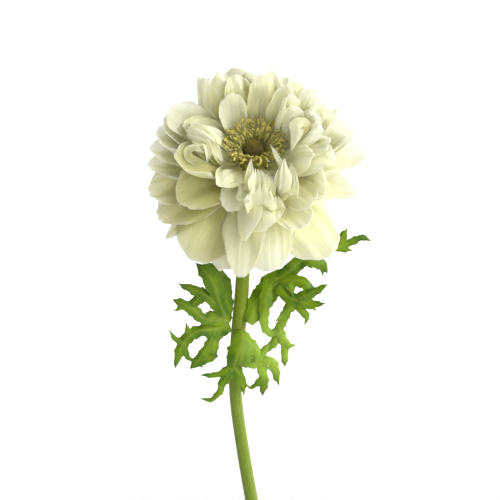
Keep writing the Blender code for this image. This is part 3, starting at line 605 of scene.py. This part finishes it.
def smooth_noise(rng, x, low, high, count=3):
    """A sum of sines of random phase and pace, about -1 to 1."""
    total = 0
    for _ in range(count):
        total = total + np.sin(2 * np.pi * (rng.uniform(low, high) * x + rng.random()))
    return total / math.sqrt(count)


# Flower.

# The flower's own right, up and outward axes.
RIGHT = np.array((1.0, 0.0, 0.0))
UP = np.array((0.0, math.cos(FLOWER_TILT), math.sin(FLOWER_TILT)))
AXIS = np.array((0.0, -math.sin(FLOWER_TILT), math.cos(FLOWER_TILT)))


def on_flower(points):
    """Points given along the flower's own axes, placed in the frame."""
    return np.array(FLOWER) + points[..., 0:1] * RIGHT + points[..., 1:2] * UP + points[..., 2:3] * AXIS


def direction(distance, turn, lean):
    """Points at a distance from the flower's centre, by their turn round its axis and lean from it."""
    around = np.sin(turn)[..., None] * RIGHT + np.cos(turn)[..., None] * UP
    out = np.sin(lean)[..., None] * around + np.cos(lean)[..., None] * AXIS
    return np.array(FLOWER) + distance[..., None] * out


def turn_between(first, second):
    return (second - first + 180) % 360 - 180


def choose_seats():
    """Gives each petal a free seat near its turn, as (lean, turn aside), never under one already taken."""
    free = []
    for row in range(SEAT_ROWS):
        for place in range(SEATS_PER_ROW):
            free.append((row, 360 / SEATS_PER_ROW * (place + row / 2)))
    seats = []
    for petal in PETALS:
        best = min(free, key=lambda seat: SEAT_ROW_COST * seat[0] + abs(turn_between(petal[1], seat[1])))
        seats.append((LOWEST_SEAT_LEAN - SEAT_ROW_STEP * best[0], turn_between(petal[1], best[1])))
        free = [seat for seat in free if seat != best
                and (seat[0] >= best[0] or abs(turn_between(seat[1], best[1])) > SEAT_REACH)]
    return seats


def petal_columns(columns):
    """Places across a petal from -1 to 1, closer together towards its edges."""
    even = np.linspace(-1, 1, columns + 1)
    return EVEN_SHARE * even + (1 - EVEN_SHARE) * np.sin(np.pi / 2 * even)


def petal_grid(rows, columns):
    """Places along (0 to 1) and across (-1 to 1) a petal at each point of its grid."""
    s = np.linspace(0, 1, rows + 1)[:, None] + np.zeros(columns + 1)
    return s, petal_columns(columns) + np.zeros((rows + 1, 1))


def ripple(rng, t, low, high):
    """A wave across a petal of random phase and of random pace between two."""
    return np.cos(2 * np.pi * (rng.uniform(low, high) * t + rng.random()))


def petal_sheet(petal, seat, rows, columns, rng):
    """Distance, turn and lean of a petal's points, seen from the flower's centre."""
    _, turn, middle, tip, length, half_width, cup, sweep, point = petal
    base, aside = seat
    s, t = petal_grid(rows, columns)
    size = half_width / USUAL_HALF_WIDTH
    ragged = RAGGED_END * size**0.5 * smooth_noise(rng, t, 1.0, 3.5, 4)
    rounded = (1 - point) * (1 - np.sqrt(1 - t**2)) + point * np.abs(t) ** POINT_CURVE
    end = length - half_width * (SHORT_SIDES[0] + SHORT_SIDES[1] * point) * rounded + ragged
    distance = PETAL_START + s * (end - PETAL_START)
    lean = np.radians((1 - s) ** 2 * base + 2 * s * (1 - s) * middle + s**2 * tip)
    rise = np.sin(np.pi / 2 * np.minimum(1, s / PETAL_WIDEST)) ** WIDENING
    beyond = np.maximum(0, (s - NARROWING_FROM) / (1 - NARROWING_FROM))
    fall = 1 - (NARROWING[0] + NARROWING[1] * point) * beyond**2
    width = PETAL_BASE_HALF_WIDTH * (1 - s) + half_width * rise * fall
    left = 1 + UNEVEN_SIDES * s * smooth_noise(rng, s, 1.0, 3.0)
    right = 1 + UNEVEN_SIDES * s * smooth_noise(rng, s, 1.0, 3.0)
    across = t * width * np.where(t < 0, left, right) / (distance * np.sin(lean))
    wave = np.where(t < 0, smooth_noise(rng, s, 0.8, 2.2, 2), smooth_noise(rng, s, 0.8, 2.2, 2))
    ruffle = 1 + RUFFLE * max(0.0, math.cos(math.radians(turn - RUFFLED_TURN)))
    lift = EDGE_WAVE * ruffle * size * np.abs(t) ** 3 * wave * s**2
    lift = lift + BROAD_WAVE * size * s * ripple(rng, t, 0.9, 1.9)
    lift = lift + FINE_WAVE * ruffle * size**0.5 * s * ripple(rng, t, 2.2, 3.6)
    lift = lift - CREASE * size * np.exp(-(t / CREASE_HALF_WIDTH) ** 2) * np.sin(np.pi * s)
    lift = lift + rng.uniform(*TIP_CURL) * size * np.maximum(0, (s - TIP_CURL_FROM) / TIP_CURL_OVER) ** 2
    lean = lean - (cup * t**2 * (width / half_width) ** 2 + lift) / distance
    if half_width > FREE_HALF_WIDTH:
        edge = np.radians(np.interp(distance, *zip(*STAMEN_EDGE)))
        lean = (lean + edge + np.hypot(lean - edge, STAMEN_EDGE_SOFTNESS)) / 2
    return distance, np.radians(turn + aside * (1 - s) ** 3 + sweep * s**2) + across, lean


def spread(push):
    """Widens each push and rounds it off, never below what it was."""
    window = (2 * SPREAD_STEPS + 1, 2 * SPREAD_STEPS + 1)
    for reduce in (np.max, np.mean):
        padded = np.pad(push, SPREAD_STEPS, mode="edge")
        push = reduce(np.lib.stride_tricks.sliding_window_view(padded, window), axis=(2, 3))
    return push


def lay_petal(petal, seat, lowest, rng, start):
    """Lays one petal on those already laid. lowest holds the lean that each direction is filled to.

    Nearer the centre than start the petal is a narrow claw that later ones pass."""
    distance, turn, lean = petal_sheet(petal, seat, SAMPLE_ROWS, SAMPLE_COLUMNS, rng)
    ring = np.round(distance / RING_STEP).astype(int)
    sector = np.round(np.degrees(turn)).astype(int) % SECTORS
    spacing = np.interp(distance, *zip(*PETAL_SPACING))
    push = np.maximum(0, lean + spacing / distance - lowest[ring, sector])
    lean = lean - spread(push)
    filled = distance >= start
    for step in (-1, 0, 1):
        for side in (-1, 0, 1):
            cells = (ring[filled] + step, (sector[filled] + side) % SECTORS)
            np.minimum.at(lowest, cells, lean[filled])
    return distance, turn, lean


def curl_points(curl, rng):
    """The grid of points of one free strip, seen flat along CURL_FACING as far as its course allows."""
    cup, ragged, stations = curl
    turn, lean, distance, half = np.array(stations, float).T
    places = direction(distance, np.radians(turn), np.radians(lean))
    route = finer(np.column_stack([places, half]), CURL_ROWS)
    ahead = heading(route[:, :3])
    across = unit(np.cross(ahead, CURL_FACING))
    normal = np.cross(ahead, across)
    normal *= np.sign(normal @ CURL_FACING)[:, None]
    s = np.linspace(0, 1, CURL_ROWS + 1)[:, None]
    t = petal_columns(CURL_COLUMNS)
    width = np.maximum(route[:, 3:], CURL_LEAST_HALF_WIDTH)
    left, right = smooth_noise(rng, s, 1.0, 3.0), smooth_noise(rng, s, 1.0, 3.0)
    uneven = 1 + CURL_UNEVEN_SIDES * s * np.where(t < 0, left, right)
    lift = cup * t**2 + CURL_WAVE * s * smooth_noise(rng, t, 0.4, 1.8, 3)
    ends = ragged * smooth_noise(rng, t + 0 * s, 1.5, 4.0, 3) - width * (1 - np.sqrt(1 - t**2))
    points = route[:, None, :3] + across[:, None] * (t * width * uneven)[..., None]
    points = points + normal[:, None] * (lift * width)[..., None]
    return points + ahead[:, None] * (s**3 * ends)[..., None]


def thin_out(thickness, thicker_base, thinner_rim, s, t):
    """Thickness over a petal: more towards its base, less at its rim."""
    rim = np.maximum(np.abs(t), s) ** 10
    return (thickness + thicker_base * (1 - s) ** 2) * (1 - thinner_rim * rim)


def add_sheet(made, points, thickness, grid, half_width, length, painted_light_share, rng):
    """Adds a petal as a thin shell, with each point's place on it and in a tissue of its own."""
    s, t = grid
    # The petal's painted light share, as lit or shaded by its place, shifted a little at random for each
    # petal.
    own = np.full_like(s, painted_light_share + PALENESS_SPREAD * (rng.random() - 0.5))
    elsewhere = np.full_like(s, 1000 * rng.random())
    place = np.stack([s, t, own], axis=-1).reshape(-1, 3)
    tissue = np.stack([t * half_width, s * length, elsewhere], axis=-1).reshape(-1, 3)
    shell, quads = skin(points, thickness)
    made.add(shell, quads, place=np.tile(place, (2, 1)), tissue=np.tile(tissue, (2, 1)))


def add_petals(material):
    rings = int(max(petal[4] for petal in PETALS) / RING_STEP) + SPARE_RINGS
    lowest = np.full((rings, SECTORS), math.pi)
    fine = petal_grid(FINE_ROWS, FINE_COLUMNS)
    curled = petal_grid(CURL_ROWS, CURL_COLUMNS)
    for number, (petal, seat) in enumerate(zip(PETALS, choose_seats())):
        rng = np.random.default_rng(number + FIRST_PETAL_SEED)
        made = Pieces()
        curls = CURLS.get(petal[0], [])
        for curl in curls:
            add_sheet(made, curl_points(curl, rng), thin_out(*CURL_THICKNESS, *curled), curled, *CURL_TISSUE,
                      CURL_PAINTED_LIGHT, rng)
        family = [petal] + [other for other in COMPANIONS if other[0] == petal[0]]
        for member in family if not curls else []:
            base = (seat[0], turn_between(member[1], petal[1] + seat[1]))
            laid = lay_petal(member, base, lowest, rng, 0 if member is petal else COMPANION_START)
            points = direction(*(finer(finer(part, FINE_ROWS).T, FINE_COLUMNS).T for part in laid))
            painted_light_share = np.interp(member[1], *zip(*PAINTED_LIGHT_AND_SHADE)) + INNER_PAINTED_LIGHT * (member[4] < INNER_LENGTH)
            add_sheet(made, points, thin_out(*PETAL_THICKNESS, *fine), fine, member[5], member[4], painted_light_share, rng)
        node = "petal_" + petal[0]
        settle(made.make(node + "_look", material), node)


def petal_material():
    g = Graph("petal_tissue")
    _, s, t, own = g.attribute("place")
    tissue, _, _, _ = g.attribute("tissue")
    veins = g.noise(g.stretched(tissue, (1.9, 0.07, 1.0)), 1.0, 2.0, 0.55)
    broad = g.noise(g.stretched(tissue, (0.45, 0.05, 1.0)), 1.0, 2.0)
    # Painted light and shade: dark yellow-green at a share of 0, as in shade, up to pale cream at 1, as lit.
    cream = g.ramp(own, (0.0, (0.54, 0.52, 0.20)), (0.5, (0.95, 0.945, 0.54)), (1.0, (0.985, 0.98, 0.68)))
    # Yellow-green towards the petal's base: partly the petal's own colour, partly painted shade deep in the
    # flower.
    near_base = g.ramp(s, (0.0, 1), (0.3, 0.6), (0.85, 0))
    colour = g.mix(near_base, cream, (0.90, 0.86, 0.28))
    vein = g.mix(0.2, cream, (0.6, 0.6, 0.2))
    colour = g.mix(g.ramp(veins, (0.35, 0), (0.7, 0.7)), colour, vein)
    # Painted highlight: a paler rim along the sides and end of each petal, for the bright line that light
    # makes through its thin edge.
    side = g.ramp(g.math("ABSOLUTE", t), (0.93, 0), (1.0, 1))
    end = g.ramp(s, (0.975, 0), (1.0, 1))
    rim = g.math("MULTIPLY", g.math("MAXIMUM", side, end), 0.4)
    g.base(g.mix(rim, colour, (0.98, 0.975, 0.66)))
    g.bump(g.math("ADD", veins, g.math("MULTIPLY", broad, 1.5)), 0.6, 0.0004)
    g.fixed(Roughness=0.55, Specular_IOR_Level=0.3, Subsurface_Weight=0.7, Subsurface_Scale=0.0015,
            Subsurface_Radius=(1.0, 0.99, 0.9), Sheen_Weight=0.1, Sheen_Roughness=0.5)
    return g.material


def add_filament(made, foot, bend, tip, rng):
    u = np.linspace(0, 1, FILAMENT_ROWS + 1)[:, None]
    route = (1 - u) ** 2 * foot + 2 * u * (1 - u) * bend + u**2 * tip
    radii = np.interp(u[:, 0], *zip(*FILAMENT_RADII))
    made.add_rings(on_flower(tube(route, radii, FILAMENT_SIDES)), (FIRST_KIND, 0, rng.random()))


def add_anther(made, around, bend, tip, rng):
    """A two-lobed anther on a filament's tip, turned a little off the filament's own direction."""
    ahead = unit(unit(tip - bend) + rng.normal(0, ANTHER_TURN, 3))
    across = unit(np.cross(ahead, around))
    over = np.cross(ahead, across)
    length, width = rng.uniform(*ANTHER_HALF_LENGTH), rng.uniform(*ANTHER_HALF_WIDTH)
    v = np.linspace(0, np.pi, ANTHER_ROWS + 1)[:, None]
    w = angles_round(ANTHER_SIDES)[None, :]
    lobes = width * (1 - ANTHER_GROOVE * np.abs(np.sin(w)) ** 0.5)
    bulge = np.sin(v) ** ANTHER_FULLNESS
    body = (tip + ahead * 0.5 * length)[None, None] - np.cos(v)[..., None] * ahead * length
    body = body + (bulge * lobes * np.cos(w))[..., None] * across
    body = body + (bulge * lobes * ANTHER_FLATNESS * np.sin(w))[..., None] * over
    body = body - ANTHER_BOW * (np.sin(v) ** 2)[..., None] * around
    made.add_rings(on_flower(body), (SECOND_KIND, 0, rng.random()))


def add_stamens(material):
    rng = np.random.default_rng(STAMEN_SEED)
    made = Pieces()
    for count, foot_radius, foot_height, tip_radius, tip_height in STAMEN_WHORLS:
        for step in range(count):
            turn = 2 * np.pi * (step + rng.uniform(-STAMEN_SHIFT, STAMEN_SHIFT)) / count + tip_radius
            tip_turn = turn + rng.normal(0, STAMEN_TWIST)
            reach = tip_radius + rng.normal(0, STAMEN_REACH_SPREAD)
            height = tip_height + rng.normal(0, STAMEN_HEIGHT_SPREAD)
            around = np.array((math.cos(turn), math.sin(turn), 0))
            foot = around * foot_radius + np.array((0, 0, foot_height))
            tip = np.array((math.cos(tip_turn) * reach, math.sin(tip_turn) * reach, height))
            bend = around * (foot_radius + FILAMENT_BEND[0] * (reach - foot_radius))
            bend = bend + np.array((0, 0, foot_height + FILAMENT_BEND[1] * (height - foot_height)))
            add_filament(made, foot, bend, tip, rng)
            add_anther(made, around, bend, tip, rng)
    settle(made.make("stamen_ring", material), "stamens")


def stamen_material():
    g = Graph("stamen_olive")
    _, kind, _, own = g.attribute("place")
    grain = g.noise(g.position(), 2600.0, 2.0)
    anther = g.mix(own, (0.19, 0.165, 0.016), (0.58, 0.52, 0.088))
    # Painted highlights: paler specks on the anthers, as glints of light on them.
    anther = g.mix(g.ramp(grain, (0.4, 0), (0.7, 0.7)), anther, (0.74, 0.69, 0.28))
    filament = g.mix(own, (0.34, 0.31, 0.07), (0.58, 0.54, 0.18))
    g.base(g.mix(g.math("GREATER_THAN", kind, 0.5), filament, anther))
    g.bump(grain, 0.5, 0.00012)
    g.fixed(Roughness=0.75, Subsurface_Weight=0.1, Subsurface_Scale=0.0005)
    return g.material


def add_dome(material):
    """The seed cone: a dome with short pistils set all over it on a golden spiral."""
    rng = np.random.default_rng(DOME_SEED)
    made = Pieces()
    lean = np.radians(np.linspace(DOME_LOWEST_LEAN, 0, DOME_ROWS + 1))
    profile = np.column_stack([DOME_RADIUS * np.sin(lean), DOME_MIDDLE + DOME_RISE * np.cos(lean)])
    made.add_rings(on_flower(turned(profile, DOME_SIDES)), (FIRST_KIND, 0, 0.5))
    golden = math.pi * (3 - math.sqrt(5))
    for step in range(PISTILS):
        cosine = 1 - PISTIL_REACH * (step + 0.5) / PISTILS
        sine = math.sqrt(1 - cosine**2)
        out = np.array((sine * math.cos(step * golden), sine * math.sin(step * golden), cosine))
        start = np.array((0, 0, DOME_MIDDLE)) + out * np.array(PISTIL_FEET)
        ahead = unit(out + np.array((0, 0, PISTIL_LIFT)) + rng.normal(0, PISTIL_TURN, 3))
        length = rng.uniform(*PISTIL_LENGTH)
        u = np.linspace(0, 1, len(PISTIL_RADII))[:, None]
        route = start + ahead * length * u + np.array((0, 0, PISTIL_HOOK)) * u**2
        made.add_rings(on_flower(tube(route, PISTIL_RADII, PISTIL_SIDES)), (SECOND_KIND, 0, rng.random()))
    settle(made.make("seed_cone", material), "pistil_dome")


def dome_material():
    g = Graph("cone_olive")
    _, kind, _, own = g.attribute("place")
    grain = g.noise(g.position(), 1800.0, 2.0)
    body = g.ramp(grain, (0.3, (0.05, 0.04, 0.003)), (0.7, (0.13, 0.105, 0.008)))
    tips = g.mix(own, (0.17, 0.135, 0.008), (0.40, 0.33, 0.03))
    g.base(g.mix(g.math("GREATER_THAN", kind, 0.5), body, tips))
    g.fixed(Roughness=0.85, Sheen_Weight=0.2)
    return g.material


def add_receptacle(material):
    """The swollen end of the stalk: most of a ball, flat towards the stamens, on a short neck."""
    lean = np.radians(np.linspace(*RECEPTACLE_LEANS, RECEPTACLE_ROWS))
    ball = [(RECEPTACLE_RADIUS * math.sin(a), RECEPTACLE_RADIUS * math.cos(a)) for a in lean]
    profile = np.array(RECEPTACLE_TOP + ball + RECEPTACLE_NECK)
    height = (profile[:, 1] - profile[:, 1].min()) / np.ptp(profile[:, 1])
    made = Pieces()
    rings = on_flower(turned(profile, RECEPTACLE_SIDES))
    made.add_rings(rings, np.repeat(height, RECEPTACLE_SIDES)[:, None], inside_out=True)
    settle(made.make("receptacle_look", material), "receptacle")


def receptacle_material():
    """Stem green below, olive where the stamens stand."""
    g = Graph("receptacle_tissue")
    height = g.attribute("place")[1]
    grain = g.noise(g.position(), 900.0, 3.0)
    green = g.mix(grain, (0.12, 0.19, 0.008), (0.25, 0.32, 0.02))
    olive = g.mix(grain, (0.14, 0.125, 0.015), (0.48, 0.45, 0.1))
    g.base(g.mix(g.ramp(height, (0.42, 0), (0.62, 1)), green, olive))
    g.bump(grain, 0.4, 0.0002)
    g.fixed(Roughness=0.6, Specular_IOR_Level=0.3)
    return g.material


# Leaves and stem.

def serration(rng, travelled, half):
    """Small pointed teeth along one edge, leaning towards the tip, as a share of the half width."""
    teeth = MARGIN_WAVE * smooth_noise(rng, travelled, 0.05, 0.2)
    place = rng.uniform(*FIRST_TOOTH)
    while place < travelled[-1] - LAST_TOOTH:
        reach = rng.uniform(*TOOTH_REACH)
        ahead = travelled - place
        tooth = np.where(ahead < 0, 1 + ahead / rng.uniform(*TOOTH_BACK), 1 - ahead / TOOTH_FRONT)
        teeth = teeth + reach * np.maximum(0, tooth) / np.maximum(half, TOOTH_LEAST_HALF_WIDTH)
        place += rng.uniform(*TOOTH_STEP)
    return teeth


def lobe_shell(points, rng):
    """A toothed ribbon, folded along its middle, as a closed shell, with its centre line and widths."""
    route = smooth_route(points, LOBE_STEPS)
    line = route[:, :3]
    ahead = heading(line)
    across = unit(np.cross(ahead, LOBE_FACING))
    facing = np.cross(across, ahead)
    t = np.linspace(-1, 1, LOBE_COLUMNS + 1)
    travelled = travelled_on(line)
    half = np.maximum(route[:, 3], LOBE_LEAST_WIDTH) / 2
    if points[-1][3] < BLUNT_LOBE:
        half = half * np.minimum(1, (travelled[-1] - travelled) / TIP_TAPER + TIP_LEAST) ** TIP_CURVE
    left, right = serration(rng, travelled, half), serration(rng, travelled, half)
    teeth = 1 + np.where(t[None] < 0, left[:, None], right[:, None])
    side = t[None] * half[:, None] * teeth
    sway = smooth_noise(rng, travelled, 0.05, 0.15)[:, None]
    fold = LOBE_FOLD * np.abs(t[None]) ** 1.3 * half[:, None] + LOBE_SWAY * half[:, None] * sway * t[None]
    place = line[:, None] + across[:, None] * side[..., None] - facing[:, None] * fold[..., None]
    thickness = LOBE_THICKNESS * (1 - LOBE_THIN_EDGE * np.abs(t[None]) ** 3) + 0 * half[:, None]
    shell, faces = skin(place + np.array(WHORL), thickness)
    return shell, faces, line + np.array(WHORL), half


def grown_together(rough, name):
    """One skin round all the lobes of a rough leaf, as a mesh, with the rough object removed."""
    grown = rough.modifiers.new("grown", "REMESH")
    grown.mode = "VOXEL"
    grown.voxel_size = LEAF_VOXEL * MM
    eased = rough.modifiers.new("eased", "SMOOTH")
    eased.factor = LEAF_EASING
    eased.iterations = LEAF_EASINGS
    bpy.context.view_layer.update()
    graph = bpy.context.evaluated_depsgraph_get()
    mesh = bpy.data.meshes.new_from_object(rough.evaluated_get(graph))
    bpy.data.objects.remove(rough)
    mesh.name = name
    return mesh


def add_bract(name, lobes, material, seed):
    rng = np.random.default_rng(seed)
    made = Pieces()
    centres, halves, shares = [], [], []
    for points in lobes:
        shell, faces, line, half = lobe_shell(points, rng)
        made.add(shell, faces)
        centres.append(line)
        halves.append(half)
        shares.append(np.linspace(0, 1, len(line)))
    line, half, share = (np.concatenate(parts) for parts in (centres, halves, shares))
    mesh = grown_together(made.make(name + "_rough", material), name + "_look")
    points = np.empty(len(mesh.vertices) * 3, np.float32)
    mesh.vertices.foreach_get("co", points)
    tree = kdtree.KDTree(len(line))
    for number, point in enumerate(line):
        tree.insert(point, number)
    tree.balance()
    near = np.array([tree.find(point)[1:] for point in points.reshape(-1, 3) / MM])
    index = near[:, 0].astype(int)
    marks = np.stack([np.clip(near[:, 1] / half[index], 0, 1.5), share[index], np.zeros(len(index))], axis=-1)
    mark(mesh, "place", marks)
    mesh.materials.clear()
    mesh.materials.append(material)
    mesh.shade_smooth()
    settle(place_object(name + "_look", mesh), name)


def leaf_material():
    g = Graph("leaf_tissue")
    _, edge, along, _ = g.attribute("place")
    position = g.position()
    blotch = g.noise(position, 160.0, 3.0)
    grain = g.noise(position, 1500.0, 3.0, 0.6)
    blade = g.mix(g.ramp(blotch, (0.35, 0), (0.65, 1)), (0.065, 0.145, 0.002), (0.185, 0.30, 0.005))
    # Painted light: the thin lobes low on the right are painted pale yellow-green, for the light shining
    # through them from behind.
    backlit_middle = (Vector(WHORL) + Vector(BACKLIT_LOBES)) * MM
    thin = g.ramp(g.vector_math("DISTANCE", position, backlit_middle)["Value"], (0.011, 0.7), (0.017, 0))
    blade = g.mix(thin, blade, (0.34, 0.50, 0.05))
    rib = g.ramp(edge, (0.0, 1), (0.22, 0.25), (0.45, 0))
    colour = g.mix(g.math("MULTIPLY", rib, 0.55), blade, (0.34, 0.43, 0.04))
    colour = g.mix(g.ramp(grain, (0.45, 0), (0.75, 0.35)), colour, (0.06, 0.15, 0.01))
    colour = g.mix(g.ramp(along, (0.75, 0), (1.0, 0.6)), colour, (0.05, 0.12, 0.012))
    g.base(colour)
    g.bump(g.math("SUBTRACT", g.math("MULTIPLY", grain, 0.6), g.math("MULTIPLY", rib, 0.8)), 0.5, 0.00015)
    g.fixed(Roughness=0.5, Specular_IOR_Level=0.22, Subsurface_Weight=0.25, Subsurface_Scale=0.0008,
            Subsurface_Radius=(0.6, 1.0, 0.1))
    return g.material


def bspline(points, count):
    """Points along a clamped cubic B-spline, as the frame's stem runs."""
    points = np.asarray(points, float)
    last = len(points) - 1
    knots = np.concatenate([[0] * 4, np.arange(1, last - 2), [last - 2] * 4]).astype(float)
    result = []
    for u in np.linspace(0, last - 2 - 1e-9, count):
        k = min(int(np.searchsorted(knots, u, side="right")) - 1, last)
        d = [points[j + k - 3] for j in range(4)]
        for r in range(1, 4):
            for j in range(3, r - 1, -1):
                low, high = knots[j + k - 3], knots[j + 1 + k - r]
                alpha = (u - low) / (high - low)
                d[j] = (1 - alpha) * d[j - 1] + alpha * d[j]
        result.append(d[3])
    return np.array(result)


def add_stem(material):
    route = bspline(np.column_stack([STEM_ROUTE, STEM_RADII]), STEM_ROWS)
    line, radius = route[:, :3], route[:, 3]
    ahead = heading(line)
    across = unit(np.cross(ahead, (0, 1, 0)))
    over = np.cross(ahead, across)
    travelled = travelled_on(line)
    w = angles_round(STEM_SIDES)
    ribs = 1
    for depth, count, twist in STEM_RIBS:
        ribs = ribs + depth * np.cos(count * w[None] + twist * travelled[:, None])
    r = radius[:, None] * ribs
    body = line[:, None] + (r * np.cos(w))[..., None] * across[:, None]
    body = body + (r * np.sin(w))[..., None] * over[:, None]
    start = [line[0] + share * (body[:1] - line[0]) for share in STEM_END_SHARES]
    end = [line[-1] + share * (body[-1:] - line[-1]) for share in STEM_END_SHARES[::-1]]
    along = np.pad(travelled / travelled[-1], len(STEM_END_SHARES), mode="edge")
    marks = np.stack(np.broadcast_arrays(along[:, None], np.cos(w), np.sin(w)), axis=-1)
    made = Pieces()
    made.add_rings(np.concatenate([*start, body, *end]), marks.reshape(-1, 3))
    settle(made.make("stem_look", material), "stem")


def stem_material():
    g = Graph("stem_tissue")
    place, along, _, _ = g.attribute("place")
    streak = g.noise(g.stretched(place, (60.0, 5.0, 5.0)), 1.0, 3.0, 0.6)
    speck = g.noise(g.position(), 1400.0, 2.0)
    low = g.mix(streak, (0.125, 0.20, 0.010), (0.235, 0.31, 0.03))
    high = g.mix(streak, (0.13, 0.20, 0.005), (0.25, 0.32, 0.012))
    colour = g.mix(g.ramp(along, (0.66, 0), (0.74, 1)), low, high)
    g.base(g.mix(g.ramp(speck, (0.55, 0), (0.8, 0.3)), colour, (0.50, 0.55, 0.25)))
    g.bump(g.math("ADD", streak, speck), 0.35, 0.0002)
    g.fixed(Roughness=0.5, Specular_IOR_Level=0.25, Subsurface_Weight=0.15, Subsurface_Scale=0.001)
    return g.material


# Vase.

def add_vase(material):
    outer = smooth_route(VASE_OUTER, VASE_OUTER_STEPS)
    inner = smooth_route(VASE_INNER, VASE_INNER_STEPS)
    lip = smooth_route([VASE_INNER[-1], VASE_LIP, VASE_OUTER[-1]], VASE_LIP_STEPS)[1:-1]
    height = outer[:, 1]
    outer[:, 0] += THROWING_DEPTH * np.sin(height * THROWING_PACE) * np.clip(height / THROWING_FROM, 0, 1)
    profile = np.concatenate([VASE_FLOOR, inner, lip, outer[::-1], VASE_FOOT])
    made = Pieces()
    made.add_rings(turned(profile, VASE_SIDES), (0, 0, 0), inside_out=True)
    settle(made.make("vase_look", material), "vase")


def vase_material():
    g = Graph("cream_glaze")
    position = g.position()
    cloud = g.noise(position, 45.0, 1.0)
    speck = g.noise(position, 650.0, 1.0)
    cream = g.mix(cloud, (0.38, 0.345, 0.265), (0.50, 0.47, 0.385))
    g.base(g.mix(g.ramp(speck, (0.64, 0), (0.72, 0.8)), cream, (0.20, 0.15, 0.085)))
    g.bump(cloud, 0.1, 0.0006)
    g.feed(g.shader.inputs["Roughness"], g.ramp(cloud, (0.3, 0.3), (0.7, 0.42)))
    g.fixed(Coat_Weight=0.15, Coat_Roughness=0.2)
    return g.material


# Studio.

def add_floor():
    g = Graph("pale_paper")
    position = g.position()
    away = g.vector_math("LENGTH", position)["Value"]
    cloud = g.math("MULTIPLY", g.noise(position, 40.0), 0.3)
    g.base(g.mix(cloud, g.ramp(away, (0.25, 0.72), (0.8, 0.95)), (0.93, 0.93, 0.93)))
    g.feed(g.shader.inputs["Emission Strength"], g.ramp(away, (0.4, 0), (1.0, 0.2)))
    g.fixed(Emission_Color=(1.0, 1.0, 1.0, 1.0), Roughness=0.9, Specular_IOR_Level=0.0)
    corners = FLOOR_REACH * np.array([(-1, -1, 0), (1, -1, 0), (1, 1, 0), (-1, 1, 0)])
    made = Pieces()
    made.add(corners, np.array([(0, 1, 2, 3)]))
    made.make("floor", g.material)


def add_world():
    """White surroundings, brighter towards +X."""
    world = bpy.data.worlds.new("studio")
    bpy.context.scene.world = world
    world.use_nodes = True
    nodes, links = world.node_tree.nodes, world.node_tree.links
    parts = nodes.new("ShaderNodeSeparateXYZ")
    links.new(nodes.new("ShaderNodeTexCoord").outputs["Generated"], parts.inputs[0])
    brighter = nodes.new("ShaderNodeMapRange")
    darkest, brightest = WORLD_STRENGTH
    for name, value in (("From Min", -1.0), ("From Max", 1.0), ("To Min", darkest), ("To Max", brightest)):
        brighter.inputs[name].default_value = value
    links.new(parts.outputs[0], brighter.inputs["Value"])
    background = nodes["Background"]
    background.inputs["Color"].default_value = (1.0, 1.0, 1.0, 1.0)
    links.new(brighter.outputs["Result"], background.inputs["Strength"])


def add_lights():
    for name, energy, angle, towards in SUNS:
        sun = bpy.data.lights.new(name, "SUN")
        sun.energy = energy
        sun.angle = math.radians(angle)
        place_object(name, sun).rotation_euler = Vector(towards).to_track_quat("-Z", "Y").to_euler()
    bpy.context.scene.view_settings.view_transform = "Standard"


def add_camera():
    target = Vector(CAMERA_TARGET) * MM
    away = Vector((0, -math.cos(LOOK_DOWN), math.sin(LOOK_DOWN))) * CAMERA_DISTANCE
    camera = bpy.data.cameras.new("photo_view")
    camera.sensor_width = SENSOR
    camera.lens = SENSOR * CAMERA_DISTANCE / (PHOTO_PIXELS * PIXEL * MM)
    obj = place_object("photo_view", camera)
    obj.location = target + away
    obj.rotation_euler = (math.pi / 2 - LOOK_DOWN, 0, 0)
    bpy.context.scene.camera = obj


def main():
    add_camera()
    add_floor()
    add_world()
    add_lights()
    add_petals(petal_material())
    add_stamens(stamen_material())
    add_dome(dome_material())
    add_receptacle(receptacle_material())
    add_stem(stem_material())
    leaf = leaf_material()
    add_bract("bract_left", LEFT_BRACT, leaf, 3)
    add_bract("bract_front", FRONT_BRACT, leaf, 4)
    add_bract("bract_right", RIGHT_BRACT, leaf, 5)
    add_vase(vase_material())


main()
